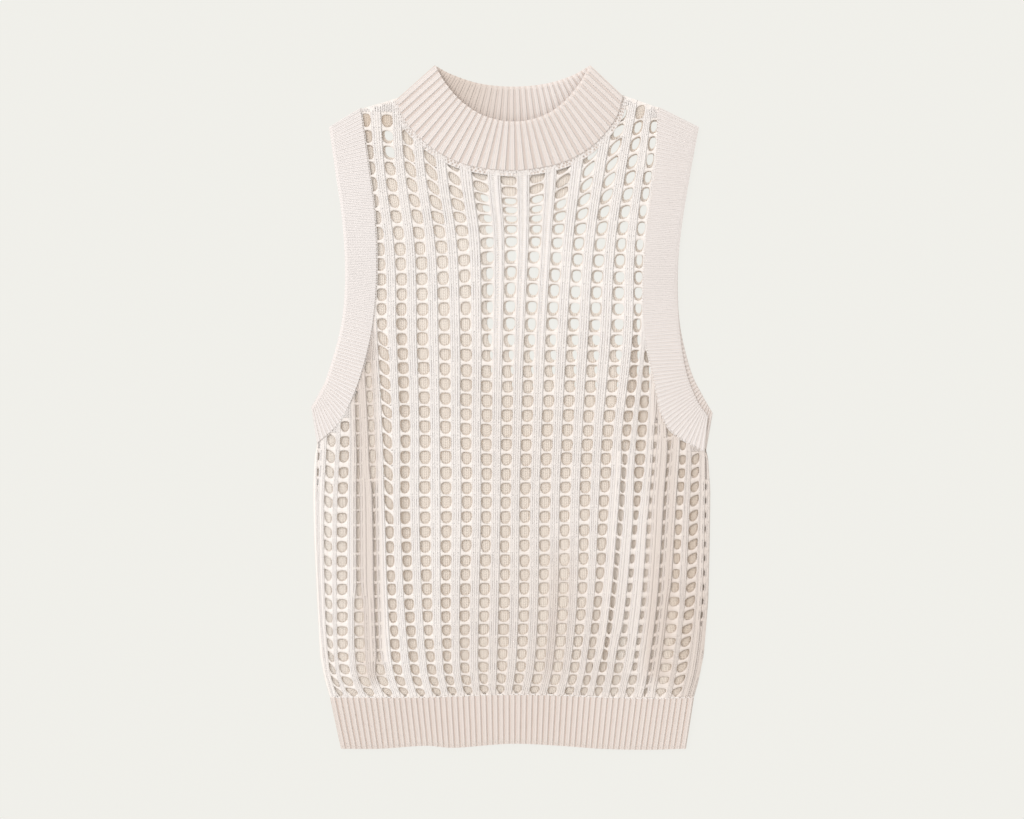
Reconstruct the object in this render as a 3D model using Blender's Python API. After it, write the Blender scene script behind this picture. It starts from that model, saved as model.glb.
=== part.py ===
"""A sleeveless open-knit pullover with a ribbed mock neck, ribbed hem and fine-rib armbands, laid flat.

Metres, +Z up. The garment lies on the plane z = 0 with its collar towards +Y. In the tables, "x" is the
distance from the garment's middle and "up" is the distance from the lowest edge of the hem towards the
collar. The finished part is centred, so its origin is in the middle of its underside.
"""
from collections import namedtuple
from math import ceil, exp, hypot

import bmesh
import bpy
from mathutils import Vector

# Driving dimensions
LENGTH = 0.6165              # hem edge to the tops of the collar
SEAM_GAP = 0.0003            # between pieces that meet at a seam or lie on each other
PANEL_WALL = 0.0018          # thickness of the open-knit panels between their strips
RIB_WALL = 0.0020            # thickness of the rib-knit strips in their grooves
STRIP_RELIEF = 0.0009        # height of the net's vertical strips above the panel
RIB_RELIEF = 0.0009          # height of the collar's and the hem's ribs
FINE_RELIEF = 0.0005         # height of the armbands' fine ribs
EDGE_WALL = 0.0011           # thickness of the front panel where it rolls over at the sides and shoulders
EDGE_ROLL = 0.004            # width of that roll
EDGE_FALL = 0.020            # width over which the front falls to the back along the sides
BODY_LOFT = 0.0011           # rise of the front above the back in the middle of the body
ROOM = 0.0034                # largest rise of the front above the back
FOLD_FULLNESS = 0.3          # share of a fold's rise by which the wall is fuller on it, up to FULLEST
FULLEST = 0.0007
COLLAR_LIFT = 0.0033         # rise of the neck's free front edge above its back
STRIP_FULLNESS = 0.0006      # bulge of a strip between its two edges
SHOULDER_SLOPE = 0.41        # fall of the shoulder line towards the armbands

# Numbers of ribs and strips
COLLAR_RIBS_FRONT = 46
COLLAR_RIBS_BACK = 38
HEM_RIBS = 63
ARMBAND_RIBS = 44
HEM_STEPS = 21          # plain lengths that the hem's back stretch is made in
ARMBAND_STEPS = 22      # and those of an armband's back stretch
NET_STEP = 2.2               # rows of holes that one length of the draped net spans
NET_MARGIN = 1.5             # rows by which it runs past its outline before it is cut
CUT_REACH = 0.05             # height of the outline that cuts it, above and below the surface
STRIP_HALF_FOOT = 0.27       # half width of a strip at its foot, in strip spacings
STRIP_HALF_TOP = 0.16        # half width of a strip at its top, in strip spacings

# A strip's two long edges, from one end to the other
Edge = namedtuple("Edge", "outer_x outer_up inner_x inner_up")

LEFT_ARMBAND = (
    Edge(-0.1647, 0.5607, -0.1368, 0.5778),
    Edge(-0.1593, 0.5220, -0.1296, 0.5265),
    Edge(-0.1530, 0.4770, -0.1237, 0.4788),
    Edge(-0.1503, 0.4275, -0.1224, 0.4248),
    Edge(-0.1539, 0.3825, -0.1269, 0.3762),
    Edge(-0.1656, 0.3393, -0.1395, 0.3285),
    Edge(-0.1737, 0.3213, -0.1557, 0.2952),
    Edge(-0.1809, 0.3087, -0.1755, 0.2763),
)
RIGHT_ARMBAND = (
    Edge(0.1683, 0.5607, 0.1323, 0.5787),
    Edge(0.1611, 0.5220, 0.1296, 0.5256),
    Edge(0.1530, 0.4725, 0.1224, 0.4752),
    Edge(0.1489, 0.4275, 0.1188, 0.4275),
    Edge(0.1505, 0.3825, 0.1192, 0.3798),
    Edge(0.1566, 0.3420, 0.1269, 0.3393),
    Edge(0.1665, 0.3150, 0.1395, 0.2925),
    Edge(0.1764, 0.3006, 0.1732, 0.2685),
)
RIGHT_ARMBAND_BACK = (
    Edge(0.1683, 0.5607, 0.1323, 0.5787),
    Edge(0.1611, 0.5220, 0.1296, 0.5256),
    Edge(0.1530, 0.4725, 0.1224, 0.4752),
    Edge(0.1494, 0.4275, 0.1188, 0.4275),
    Edge(0.1515, 0.3825, 0.1215, 0.3798),
    Edge(0.1611, 0.3420, 0.1320, 0.3330),
    Edge(0.1719, 0.3190, 0.1500, 0.2960),
    Edge(0.1809, 0.3033, 0.1752, 0.2700),
)
COLLAR_FRONT = (
    Edge(-0.0693, 0.6165, -0.1035, 0.5859),
    Edge(-0.0594, 0.5994, -0.0954, 0.5661),
    Edge(-0.0441, 0.5823, -0.0738, 0.5436),
    Edge(-0.0234, 0.5697, -0.0423, 0.5274),
    Edge(0.0009, 0.5652, 0.0009, 0.5220),
    Edge(0.0261, 0.5697, 0.0432, 0.5283),
    Edge(0.0459, 0.5823, 0.0729, 0.5445),
    Edge(0.0603, 0.5994, 0.0927, 0.5679),
    Edge(0.0702, 0.6165, 0.0999, 0.5886),
)
COLLAR_BACK = (
    Edge(-0.0693, 0.6165, -0.1035, 0.5859),
    Edge(-0.0540, 0.6084, -0.0783, 0.5715),
    Edge(-0.0288, 0.6003, -0.0423, 0.5598),
    Edge(0.0009, 0.5976, 0.0009, 0.5553),
    Edge(0.0306, 0.6003, 0.0414, 0.5607),
    Edge(0.0540, 0.6075, 0.0774, 0.5733),
    Edge(0.0702, 0.6165, 0.0999, 0.5886),
)
HEM = (
    Edge(-0.1539, 0.0009, -0.1638, 0.0468),
    Edge(-0.1188, 0.0009, -0.1251, 0.0468),
    Edge(-0.0783, 0.0036, -0.0828, 0.0468),
    Edge(-0.0513, 0.0018, -0.0540, 0.0477),
    Edge(-0.0018, 0.0054, -0.0018, 0.0495),
    Edge(0.0432, 0.0036, 0.0459, 0.0486),
    Edge(0.0792, 0.0009, 0.0837, 0.0468),
    Edge(0.1197, 0.0000, 0.1260, 0.0459),
    Edge(0.1566, 0.0009, 0.1638, 0.0468),
)

# The body's side edges, from the hem seam to the armbands
Side = namedtuple("Side", "up left_x right_x")
SIDES = (
    Side(0.0630, -0.1687, 0.1683),
    Side(0.0855, -0.1728, 0.1728),
    Side(0.1350, -0.1755, 0.1769),
    Side(0.1890, -0.1782, 0.1782),
    Side(0.2340, -0.1791, 0.1787),
    Side(0.2610, -0.1780, 0.1768),
)

# Where the net's vertical lines of holes run: a row for each level, counted in rows of holes from the hem,
# with its height at the left, in the middle and at the right, and the x of the lines named in LINES
LINES = (0, 2, 4, 6, 9, 12, 15, 17, 19, 21, 23)
Level = namedtuple("Level", "row up_left up_middle up_right x")
NET = (
    Level(-0.5, 0.0468, 0.0495, 0.0468,
          (-0.1611, -0.1422, -0.1107, -0.0810, -0.0387, 0.0036, 0.0504, 0.0765, 0.1053, 0.1332, 0.1584)),
    Level(2.0, 0.0729, 0.0756, 0.0747,
          (-0.1674, -0.1512, -0.1188, -0.0873, -0.0423, 0.0081, 0.0567, 0.0819, 0.1107, 0.1386, 0.1656)),
    Level(7.0, 0.1323, 0.1332, 0.1341,
          (-0.1728, -0.1530, -0.1224, -0.0927, -0.0423, 0.0108, 0.0630, 0.0909, 0.1188, 0.1458, 0.1719)),
    Level(14.0, 0.2232, 0.2232, 0.2250,
          (-0.1755, -0.1521, -0.1242, -0.0963, -0.0405, 0.0117, 0.0657, 0.0990, 0.1251, 0.1512, 0.1746)),
    Level(19.0, 0.2925, 0.2880, 0.2880,
          (-0.1737, -0.1503, -0.1269, -0.0963, -0.0414, 0.0135, 0.0684, 0.1035, 0.1296, 0.1548, 0.1746)),
    Level(25.0, 0.3708, 0.3690, 0.3690,
          (-0.1773, -0.1530, -0.1314, -0.0990, -0.0414, 0.0162, 0.0738, 0.1125, 0.1323, 0.1566, 0.1755)),
    Level(31.0, 0.4518, 0.4581, 0.4554,
          (-0.1818, -0.1584, -0.1368, -0.1008, -0.0441, 0.0207, 0.0792, 0.1152, 0.1368, 0.1602, 0.1782)),
    Level(36.0, 0.5247, 0.5031, 0.5319,
          (-0.1854, -0.1638, -0.1431, -0.1098, -0.0522, 0.0225, 0.0900, 0.1242, 0.1458, 0.1674, 0.1836)),
    Level(40.0, 0.5823, 0.5472, 0.5922,
          (-0.1908, -0.1692, -0.1485, -0.1134, -0.0567, 0.0234, 0.1008, 0.1314, 0.1530, 0.1728, 0.1890)),
)

# The front's soft folds: each runs in a straight line and fades out past its two ends
Fold = namedtuple("Fold", "low_x low_up high_x high_up half_width rise")
FOLDS = (
    Fold(-0.1180, 0.0600, -0.1330, 0.3600, 0.0095, -0.0026),
    Fold(-0.0980, 0.0900, -0.1060, 0.3750, 0.0105, 0.0024),
    Fold(-0.1420, 0.0900, -0.1530, 0.3000, 0.0105, 0.0018),
    Fold(0.0880, 0.0700, 0.1080, 0.3500, 0.0105, 0.0026),
    Fold(0.1230, 0.0700, 0.1300, 0.3300, 0.0100, -0.0026),
    Fold(0.1480, 0.0700, 0.1560, 0.2900, 0.0100, 0.0022),
    Fold(0.0320, 0.0550, 0.0440, 0.1500, 0.0110, -0.0012),
    Fold(-0.0600, 0.0600, -0.0560, 0.1700, 0.0150, 0.0008),
)
FOLD_FADE = 0.035            # length over which a fold fades out past its ends

Finish = namedtuple("Finish", "color roughness")
FINISHES = {
    "net": Finish((0.80, 0.72, 0.65), 0.88),
    "rib": Finish((0.83, 0.76, 0.70), 0.88),
    "armband": Finish((0.85, 0.79, 0.74), 0.90),
}


def spline(values, position):
    """Value at a position along a list of values, on a smooth curve through all of them."""
    last = len(values) - 1
    index = min(int(position), last - 1)
    t = position - index
    a = values[max(index - 1, 0)]
    b = values[index]
    c = values[index + 1]
    d = values[min(index + 2, last)]
    slope_b = (c - a) / 2
    slope_c = (d - b) / 2
    curve = (2 * t**3 - 3 * t**2 + 1) * b + (t**3 - 2 * t**2 + t) * slope_b
    return curve + (3 * t**2 - 2 * t**3) * c + (t**3 - t**2) * slope_c


def keyed(keys, values, key):
    """Value for a key, on a smooth curve through (key, value) pairs at uneven spacings."""
    last = len(keys) - 1
    index = 0
    while index < last - 1 and key > keys[index + 1]:
        index += 1
    t = (key - keys[index]) / (keys[index + 1] - keys[index])

    def slope(knot):
        low = max(knot - 1, 0)
        high = min(knot + 1, last)
        return (values[high] - values[low]) / (keys[high] - keys[low])

    span = keys[index + 1] - keys[index]
    if t < 0:
        return values[index] + slope(index) * span * t
    if t > 1:
        return values[index + 1] + slope(index + 1) * span * (t - 1)
    curve = (2 * t**3 - 3 * t**2 + 1) * values[index] + (t**3 - 2 * t**2 + t) * slope(index) * span
    return curve + (3 * t**2 - 2 * t**3) * values[index + 1] + (t**3 - t**2) * slope(index + 1) * span


def edge_at(rows, position):
    """The strip's two edges at a position counted in rows, as an Edge."""
    columns = zip(*rows)
    return Edge(*(spline(column, position) for column in columns))


def even_positions(rows, count):
    """Positions that part a strip into equal lengths, measured along its middle."""
    steps = 12 * (len(rows) - 1)
    lengths = [0.0]
    before = None
    for step in range(steps + 1):
        edge = edge_at(rows, step * (len(rows) - 1) / steps)
        middle = Vector((edge.outer_x + edge.inner_x, edge.outer_up + edge.inner_up)) / 2
        if before is not None:
            lengths.append(lengths[-1] + (middle - before).length)
        before = middle
    positions = []
    step = 0
    for number in range(count + 1):
        target = lengths[-1] * number / count
        while step < steps - 1 and lengths[step + 1] < target:
            step += 1
        share = (target - lengths[step]) / (lengths[step + 1] - lengths[step])
        positions.append(min((step + share) * (len(rows) - 1) / steps, len(rows) - 1))
    return positions


def fold_rise(x, up):
    """Rise of the front's folds at a point of the body."""
    total = 0.0
    for fold in FOLDS:
        along_x = fold.high_x - fold.low_x
        along_up = fold.high_up - fold.low_up
        length = hypot(along_x, along_up)
        along = ((x - fold.low_x) * along_x + (up - fold.low_up) * along_up) / length
        across = ((x - fold.low_x) * along_up - (up - fold.low_up) * along_x) / length
        past = max(-along, along - length, 0.0)
        total += fold.rise * exp(-((across / fold.half_width) ** 2) - (past / FOLD_FADE) ** 2)
    return total


def side_x(up):
    """The body's left and right edges at a height above the hem edge."""
    rows = (Side(HEM[0].inner_up, HEM[0].inner_x, HEM[-1].inner_x),) + SIDES
    rows += (Side(LEFT_ARMBAND[-1].inner_up, LEFT_ARMBAND[-1].inner_x, RIGHT_ARMBAND[-1].inner_x),)
    heights = [row.up for row in rows]
    left = keyed(heights, [row.left_x for row in rows], up)
    right = keyed(heights, [row.right_x for row in rows], up)
    return left, right


def edge_distance(x, up):
    """Distance from a point of the body to its side edges and its shoulder line, at least zero."""
    left, right = side_x(min(up, LEFT_ARMBAND[-1].inner_up))
    neck = COLLAR_FRONT[0]
    shoulder = neck.inner_up - (abs(x) - abs(neck.inner_x)) * SHOULDER_SLOPE
    return max(min(x - left, right - x, shoulder - up), 0.0)


def front_faces(x, up):
    """Heights of the front panel's inner and outer faces: it lies on the back and lifts in its folds."""
    distance = edge_distance(x, up)
    inside = 1 - exp(-((distance / EDGE_FALL) ** 2))
    rise = fold_rise(x, up) * inside
    under = PANEL_WALL + SEAM_GAP + min(max(inside * BODY_LOFT + rise, 0.0), ROOM)
    wall = EDGE_WALL + (PANEL_WALL - EDGE_WALL) * (1 - exp(-((distance / EDGE_ROLL) ** 2)))
    return under, under + wall + min(max(FOLD_FULLNESS * rise, -FULLEST), FULLEST)


def net_point(line, row):
    """Place of a point of the net, given in lines and rows of holes."""
    rows = [level.row for level in NET]
    xs = [keyed(rows, [level.x[index] for level in NET], row) for index in range(len(LINES))]
    x = keyed(LINES, xs, line)
    left = keyed(rows, [level.up_left for level in NET], row)
    middle = keyed(rows, [level.up_middle for level in NET], row)
    right = keyed(rows, [level.up_right for level in NET], row)
    across = 2 * line / LINES[-1] - 1
    up = middle + (right - left) / 2 * across + ((left + right) / 2 - middle) * across**2
    return x, up


def material(name):
    """The finish of one kind of knit."""
    finish = FINISHES[name]
    made = bpy.data.materials.new(name)
    made.use_nodes = True
    shader = made.node_tree.nodes["Principled BSDF"]
    shader.inputs["Base Color"].default_value = (*finish.color, 1.0)
    shader.inputs["Roughness"].default_value = finish.roughness
    shader.inputs["Metallic"].default_value = 0.0
    return made


def add_object(name, mesh, surface, crease=0.6):
    """Adds a mesh to the scene as one named piece of the garment, shaded smooth between its creases."""
    mesh.materials.append(surface)
    mesh.shade_smooth()
    mesh.set_sharp_from_angle(angle=crease)
    piece = bpy.data.objects.new(name, mesh)
    bpy.context.scene.collection.objects.link(piece)
    return piece


def place(x, up, z):
    """A point of the centred part."""
    return (x, up - LENGTH / 2, z)


def strip_piece(name, rows, ribs, profile, across, heights, surface):
    """A knitted strip between two edges, with ribs raised in its outer face over a plain inside.

    profile is a tuple of (share of a rib's width, relief in metres); across is the number of steps from the
    outer to the inner edge; heights(share across, share along) gives the inner and the outer face's height.
    """
    positions = even_positions(rows, ribs)
    mesh = bmesh.new()
    upper = []
    lower = []

    def line(position, relief, share_along, outside):
        edge = edge_at(rows, position)
        points = []
        for step in range(across + 1):
            share = step / across
            x = edge.outer_x + (edge.inner_x - edge.outer_x) * share
            up = edge.outer_up + (edge.inner_up - edge.outer_up) * share
            under, over = heights(share, share_along, x, up)
            points.append(mesh.verts.new(place(x, up, over + relief if outside else under)))
        return points

    for rib in range(ribs + 1):
        lower.append(line(positions[rib], 0.0, rib / ribs, False))
        if rib == ribs:
            upper.append(line(positions[rib], profile[0][1], 1.0, True))
            continue
        for share, relief in profile:
            position = positions[rib] + (positions[rib + 1] - positions[rib]) * share
            upper.append(line(position, relief, (rib + share) / ribs, True))
    points = len(profile)
    for index in range(len(upper) - 1):
        for step in range(across):
            mesh.faces.new((upper[index][step], upper[index][step + 1],
                            upper[index + 1][step + 1], upper[index + 1][step]))
    for index in range(ribs):
        for step in range(across):
            mesh.faces.new((lower[index][step], lower[index + 1][step],
                            lower[index + 1][step + 1], lower[index][step + 1]))
        crest = upper[index * points:(index + 1) * points + 1]
        for step in (0, across):
            rim = [row[step] for row in reversed(crest)]
            mesh.faces.new([lower[index][step], lower[index + 1][step], *rim])
    for index in (0, -1):
        mesh.faces.new([*lower[index], *reversed(upper[index])])
    bmesh.ops.recalc_face_normals(mesh, faces=mesh.faces)
    data = bpy.data.meshes.new(name)
    mesh.to_mesh(data)
    mesh.free()
    return add_object(name, data, surface)


def offset_inward(points, distance):
    """A closed outline, run anticlockwise, moved inward by a distance."""
    moved = []
    for index, point in enumerate(points):
        before = points[index - 1]
        after = points[(index + 1) % len(points)]
        first = (point - before).normalized()
        second = (after - point).normalized()
        normal = Vector((-first.y - second.y, first.x + second.x)).normalized()
        spread = normal.dot(Vector((-first.y, first.x)))
        moved.append(point + normal * distance / spread)
    return moved


def inner_edge(rows, count):
    """Points along a strip's inner edge, at the ends of a number of equal lengths."""
    edges = [edge_at(rows, position) for position in even_positions(rows, count)]
    return [Vector((edge.inner_x, edge.inner_up)) for edge in edges]


def panel_outline(collar, collar_count, left_band, right_band, band_count):
    """The open-knit panel's outline, anticlockwise, a seam gap inside the strips that it is linked to."""
    corners = inner_edge(HEM, HEM_STEPS)
    corners += [Vector((row.right_x, row.up)) for row in SIDES]
    corners += reversed(inner_edge(right_band, band_count))
    corners += reversed(inner_edge(collar, collar_count))
    corners += inner_edge(left_band, band_count)
    corners += [Vector((row.left_x, row.up)) for row in reversed(SIDES)]
    return offset_inward(corners, SEAM_GAP)


def prism(name, outline, low, high):
    """A plate with the given outline between two heights."""
    mesh = bmesh.new()
    face = mesh.faces.new([mesh.verts.new(place(point.x, point.y, low)) for point in outline])
    made = bmesh.ops.extrude_face_region(mesh, geom=[face])
    top = [item for item in made["geom"] if isinstance(item, bmesh.types.BMVert)]
    bmesh.ops.translate(mesh, verts=top, vec=(0, 0, high - low))
    bmesh.ops.recalc_face_normals(mesh, faces=mesh.faces)
    data = bpy.data.meshes.new(name)
    mesh.to_mesh(data)
    mesh.free()
    return data


def net_block(name):
    """The front's draped net before it is cut to its outline: raised strips over a plain inside."""
    first_row = NET[0].row - NET_MARGIN
    last_row = NET[-1].row + 2 * NET_MARGIN
    steps = ceil((last_row - first_row) / NET_STEP)
    mesh = bmesh.new()
    feet = (-STRIP_HALF_FOOT, -STRIP_HALF_TOP, STRIP_HALF_TOP, STRIP_HALF_FOOT)
    reliefs = (0.0, STRIP_RELIEF, STRIP_RELIEF, 0.0)
    upper = []
    lower = []
    for step in range(steps + 1):
        row = first_row + (last_row - first_row) * step / steps
        top_line = []
        low_line = []
        for strip in range(LINES[-1] + 4):
            centre = strip - 1.5
            for foot, relief in zip(feet, reliefs):
                x, up = net_point(centre + foot, row)
                top_line.append(mesh.verts.new(place(x, up, front_faces(x, up)[1] + relief)))
            x, up = net_point(centre, row)
            low_line.append(mesh.verts.new(place(x, up, front_faces(x, up)[0])))
        upper.append(top_line)
        lower.append(low_line)
    for index in range(steps):
        for column in range(len(upper[0]) - 1):
            mesh.faces.new((upper[index][column], upper[index][column + 1],
                            upper[index + 1][column + 1], upper[index + 1][column]))
        for column in range(len(lower[0]) - 1):
            mesh.faces.new((lower[index][column], lower[index + 1][column],
                            lower[index + 1][column + 1], lower[index][column + 1]))
        for column in (0, -1):
            mesh.faces.new((lower[index][column], upper[index][column],
                            upper[index + 1][column], lower[index + 1][column]))
    for index in (0, -1):
        mesh.faces.new([*lower[index], *reversed(upper[index])])
    bmesh.ops.recalc_face_normals(mesh, faces=mesh.faces)
    data = bpy.data.meshes.new(name)
    mesh.to_mesh(data)
    mesh.free()
    return data


def front_panel(surface):
    """The front net, draped over the back and cut to its outline."""
    panel = add_object("front_panel", net_block("front_panel"), surface)
    outline = panel_outline(COLLAR_FRONT, COLLAR_RIBS_FRONT, LEFT_ARMBAND, RIGHT_ARMBAND, ARMBAND_RIBS)
    cutter = bpy.data.objects.new("front_outline", prism("front_outline", outline, -CUT_REACH, CUT_REACH))
    bpy.context.scene.collection.objects.link(cutter)
    cutter.hide_render = True
    cutter.display_type = "WIRE"
    cut = panel.modifiers.new("outline", "BOOLEAN")
    cut.operation = "INTERSECT"
    cut.solver = "EXACT"
    cut.object = cutter
    return panel


def back_panel(surface):
    """The back net: it lies flat on the surface under the front."""
    outline = panel_outline(COLLAR_BACK, COLLAR_RIBS_BACK, LEFT_ARMBAND, RIGHT_ARMBAND_BACK,
                            ARMBAND_STEPS)
    return add_object("back_panel", prism("back_panel", outline, 0.0, PANEL_WALL), surface)


def rounded(share, fullness):
    """Height factor of a strip's section: lower at its two edges, full in the middle."""
    return fullness * (1 - (2 * share - 1) ** 2)


def collar_front_heights(share, along, x, up):
    """The front of the neck stands away from the back along its free edge, and lies down at its ends."""
    under = RIB_WALL + RIB_RELIEF + SEAM_GAP
    under += COLLAR_LIFT * (1 - share) * (1 - (2 * along - 1) ** 4)
    return under, under + RIB_WALL + rounded(share, STRIP_FULLNESS)


def hem_front_heights(share, along, x, up):
    """The front of the hem lies on its back, and meets the panel at the panel's height."""
    lying = RIB_WALL + SEAM_GAP
    under = lying + max(front_faces(x, up)[0] - lying, 0.0) * share
    return under, under + RIB_WALL + rounded(share, STRIP_FULLNESS)


def armband_front_heights(share, along, x, up):
    """The front of an armband lies on its back at its free edge and its ends, and rises to the panel."""
    under = RIB_WALL + SEAM_GAP + BODY_LOFT * share * (1 - (2 * along - 1) ** 6)
    return under, under + RIB_WALL + rounded(share, STRIP_FULLNESS)


def back_strip_heights(share, along, x, up):
    """A strip of the back layer, flat on the surface that the garment lies on."""
    return 0.0, RIB_WALL


def strips(rib, fine):
    """The ribbed neck, the ribbed hem and the armbands, each as its front and its back stretch."""
    round_rib = ((0.0, 0.0), (0.24, RIB_RELIEF), (0.76, RIB_RELIEF))
    fine_rib = ((0.0, 0.0), (0.5, FINE_RELIEF))
    plain = ((0.0, 0.0),)
    strip_piece("collar_back", COLLAR_BACK, COLLAR_RIBS_BACK, round_rib, 2, back_strip_heights, rib)
    strip_piece("collar_front", COLLAR_FRONT, COLLAR_RIBS_FRONT, round_rib, 3, collar_front_heights, rib)
    strip_piece("hem_back", HEM, HEM_STEPS, plain, 1, back_strip_heights, rib)
    strip_piece("hem_front", HEM, HEM_RIBS, round_rib, 2, hem_front_heights, rib)
    strip_piece("armband_left_back", LEFT_ARMBAND, ARMBAND_STEPS, plain, 1, back_strip_heights, fine)
    strip_piece("armband_left_front", LEFT_ARMBAND, ARMBAND_RIBS, fine_rib, 2, armband_front_heights, fine)
    strip_piece("armband_right_back", RIGHT_ARMBAND_BACK, ARMBAND_STEPS, plain, 1, back_strip_heights, fine)
    strip_piece("armband_right_front", RIGHT_ARMBAND, ARMBAND_RIBS, fine_rib, 2, armband_front_heights, fine)


def main():
    for item in list(bpy.data.objects):
        bpy.data.objects.remove(item)
    net = material("net")
    rib = material("rib")
    armband = material("armband")
    back_panel(net)
    front_panel(net)
    strips(rib, armband)


main()
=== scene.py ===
"""Looks of a sleeveless open-knit pullover, laid flat.

It has a ribbed mock neck, a ribbed hem and fine-rib armbands. Metres, +Z up. The garment lies on the
floor with its collar towards +Y. In the tables "x" is the distance from the garment's middle, and
"up" the distance from the lowest edge of the hem towards the collar. "Line" and "row" count the
net's holes from the left and from the hem, and holes lie at whole numbers of both.
"""
import logging
from dataclasses import dataclass, field
from enum import Enum
from math import pi, radians
from typing import NamedTuple

import bmesh
import bpy
import numpy as np
from mathutils import Matrix, Vector


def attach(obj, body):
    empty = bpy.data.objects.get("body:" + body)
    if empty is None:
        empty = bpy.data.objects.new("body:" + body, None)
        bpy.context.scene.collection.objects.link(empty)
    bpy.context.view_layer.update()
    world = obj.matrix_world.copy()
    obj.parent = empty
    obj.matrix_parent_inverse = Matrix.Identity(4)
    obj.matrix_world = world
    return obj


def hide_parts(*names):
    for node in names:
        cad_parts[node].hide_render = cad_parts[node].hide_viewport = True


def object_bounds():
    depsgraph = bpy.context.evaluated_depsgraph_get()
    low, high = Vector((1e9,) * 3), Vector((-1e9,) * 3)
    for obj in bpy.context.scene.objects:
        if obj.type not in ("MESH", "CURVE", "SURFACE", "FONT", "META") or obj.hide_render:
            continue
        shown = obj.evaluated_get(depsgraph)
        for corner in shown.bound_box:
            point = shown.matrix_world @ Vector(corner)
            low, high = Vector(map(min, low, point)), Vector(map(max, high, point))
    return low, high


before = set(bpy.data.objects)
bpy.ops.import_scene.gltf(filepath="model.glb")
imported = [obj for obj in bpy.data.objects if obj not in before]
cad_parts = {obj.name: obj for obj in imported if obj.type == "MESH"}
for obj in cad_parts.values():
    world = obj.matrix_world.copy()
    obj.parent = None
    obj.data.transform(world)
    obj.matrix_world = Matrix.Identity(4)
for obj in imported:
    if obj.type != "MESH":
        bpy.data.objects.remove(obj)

log = logging.getLogger("pullover")
CAD_LOW, CAD_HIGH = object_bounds()
LENGTH = CAD_HIGH.y - CAD_LOW.y
BODY = "root"
Colour = tuple[float, float, float]

# Thicknesses and heights of the two layers
PANEL_WALL = 0.0014          # net panel between its strips
RIB_WALL = 0.0020            # rib knit in its grooves
LAYER_GAP = 0.0003           # front layer above the back layer
BODY_LOFT = 0.0007           # rise of the front above the back in the middle of the body
EDGE_FALL = 0.020            # width over which the front falls to the back along the sides
EDGE_ROUND = 0.006           # width over which a panel rounds down to its side edge
EDGE_HEIGHT = 0.0017         # height at which the front and the back meet along the sides
EDGE_WALL = 0.0003           # thickness of a panel there
EDGE_FREE = 0.004            # width beside a free edge where no linked strip presses the panel
BACK_CURL = 0.8              # share of that height to which the back curls up
THIN_EDGE = 0.0002           # least thickness of a panel, at its edges
SHOULDER_SLOPE = 0.41        # fall of the shoulder line towards the armbands
TUCK = 0.0025                # width of a panel's edge that is linked in under a ribbed strip
FOLD_FADE = 0.035            # length over which a fold fades out past its ends
CREASE = radians(60)         # faces that meet at more than this keep a crisp edge between them
STITCH = 0.0022              # height of a stitch of the ribbed strips and seams

# Counts and limits for building the meshes
MERGE = 0.00005              # points closer than this are merged
TRACK_STEPS = 40             # steps between two stations where a strip's length is measured
HEM_POINTS = 25              # points of a panel's outline along the hem
EDGE_POINTS = 40             # and along the neck and each armhole
CELL = 0.5                   # half a cell of the net, in spacings of its lines and rows
INSET = 0.3                  # half the square hole that an open cell starts with
NEAR = 0.01                  # slack when a cell's points are told apart
BORDER = 0.001               # points this close to a cell's border belong to it
CHART_PITCH = 2.0            # distance between the columns of a chart of stitches
BEAD_SIDES, BEAD_RINGS = 4, 3    # faces round a bead of yarn, and along it
BEAD_POINTS = BEAD_SIDES * (BEAD_RINGS - 1) + 2
JITTER_SIZE = 64             # lines and rows after which the holes' unevenness repeats
SEAM_JITTERS = 400           # gaps after which a seam's unevenness repeats
SPLIT = 12                   # first strip whose stitches belong to the right half


def smoothstep(low: float, high: float, value: np.ndarray) -> np.ndarray:
    """Smooth climb from 0 at low to 1 at high."""
    t = np.clip((value - low) / (high - low), 0, 1)
    return t * t * (3 - 2 * t)


def quarter_round(distance: np.ndarray, radius: float) -> np.ndarray:
    """Quarter of a circle, from 0 at no distance to 1 at the radius and beyond."""
    return np.sqrt(1 - (1 - np.clip(distance / radius, 0, 1)) ** 2)


class Edge(NamedTuple):
    """One station of a knitted strip: a point of its free edge and one of its linked edge."""

    outer_x: float
    outer_up: float
    inner_x: float
    inner_up: float


class Side(NamedTuple):
    """The body's left and right edges at one height."""

    up: float
    left_x: float
    right_x: float


class Level(NamedTuple):
    """One level of the net: its heights at the left, middle and right, and the x of each of LINES."""

    row: float
    up_left: float
    up_middle: float
    up_right: float
    x: tuple[float, ...]


class Plateau(NamedTuple):
    """A smooth climb from 0 to 1 between two values, and a fall back to 0 between two more."""

    climb_from: float
    climb_to: float
    fall_from: float
    fall_to: float

    def at(self, value: np.ndarray) -> np.ndarray:
        """Its height at the values given."""
        climb = smoothstep(self.climb_from, self.climb_to, value)
        return climb * (1 - smoothstep(self.fall_from, self.fall_to, value))


class Fold(NamedTuple):
    """A soft ridge (rise above zero) or trough (below zero) of the front, between two points."""

    low_x: float
    low_up: float
    high_x: float
    high_up: float
    half_width: float
    rise: float

    def at(self, x: np.ndarray, up: np.ndarray, spread: float) -> np.ndarray:
        """Rise of the fold at points of the body.

        Args:
            x: Distance from the garment's middle.
            up: Height up the garment.
            spread: Share of its width to which the fold is widened.

        Returns:
            The rise.
        """
        along_x, along_up = self.high_x - self.low_x, self.high_up - self.low_up
        length = np.hypot(along_x, along_up)
        along = ((x - self.low_x) * along_x + (up - self.low_up) * along_up) / length
        across = ((x - self.low_x) * along_up - (up - self.low_up) * along_x) / length
        past = np.maximum(np.maximum(-along, along - length), 0)
        away = (across / self.half_width / spread) ** 2 + (past / FOLD_FADE) ** 2
        return self.rise * np.exp(-away)


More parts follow.
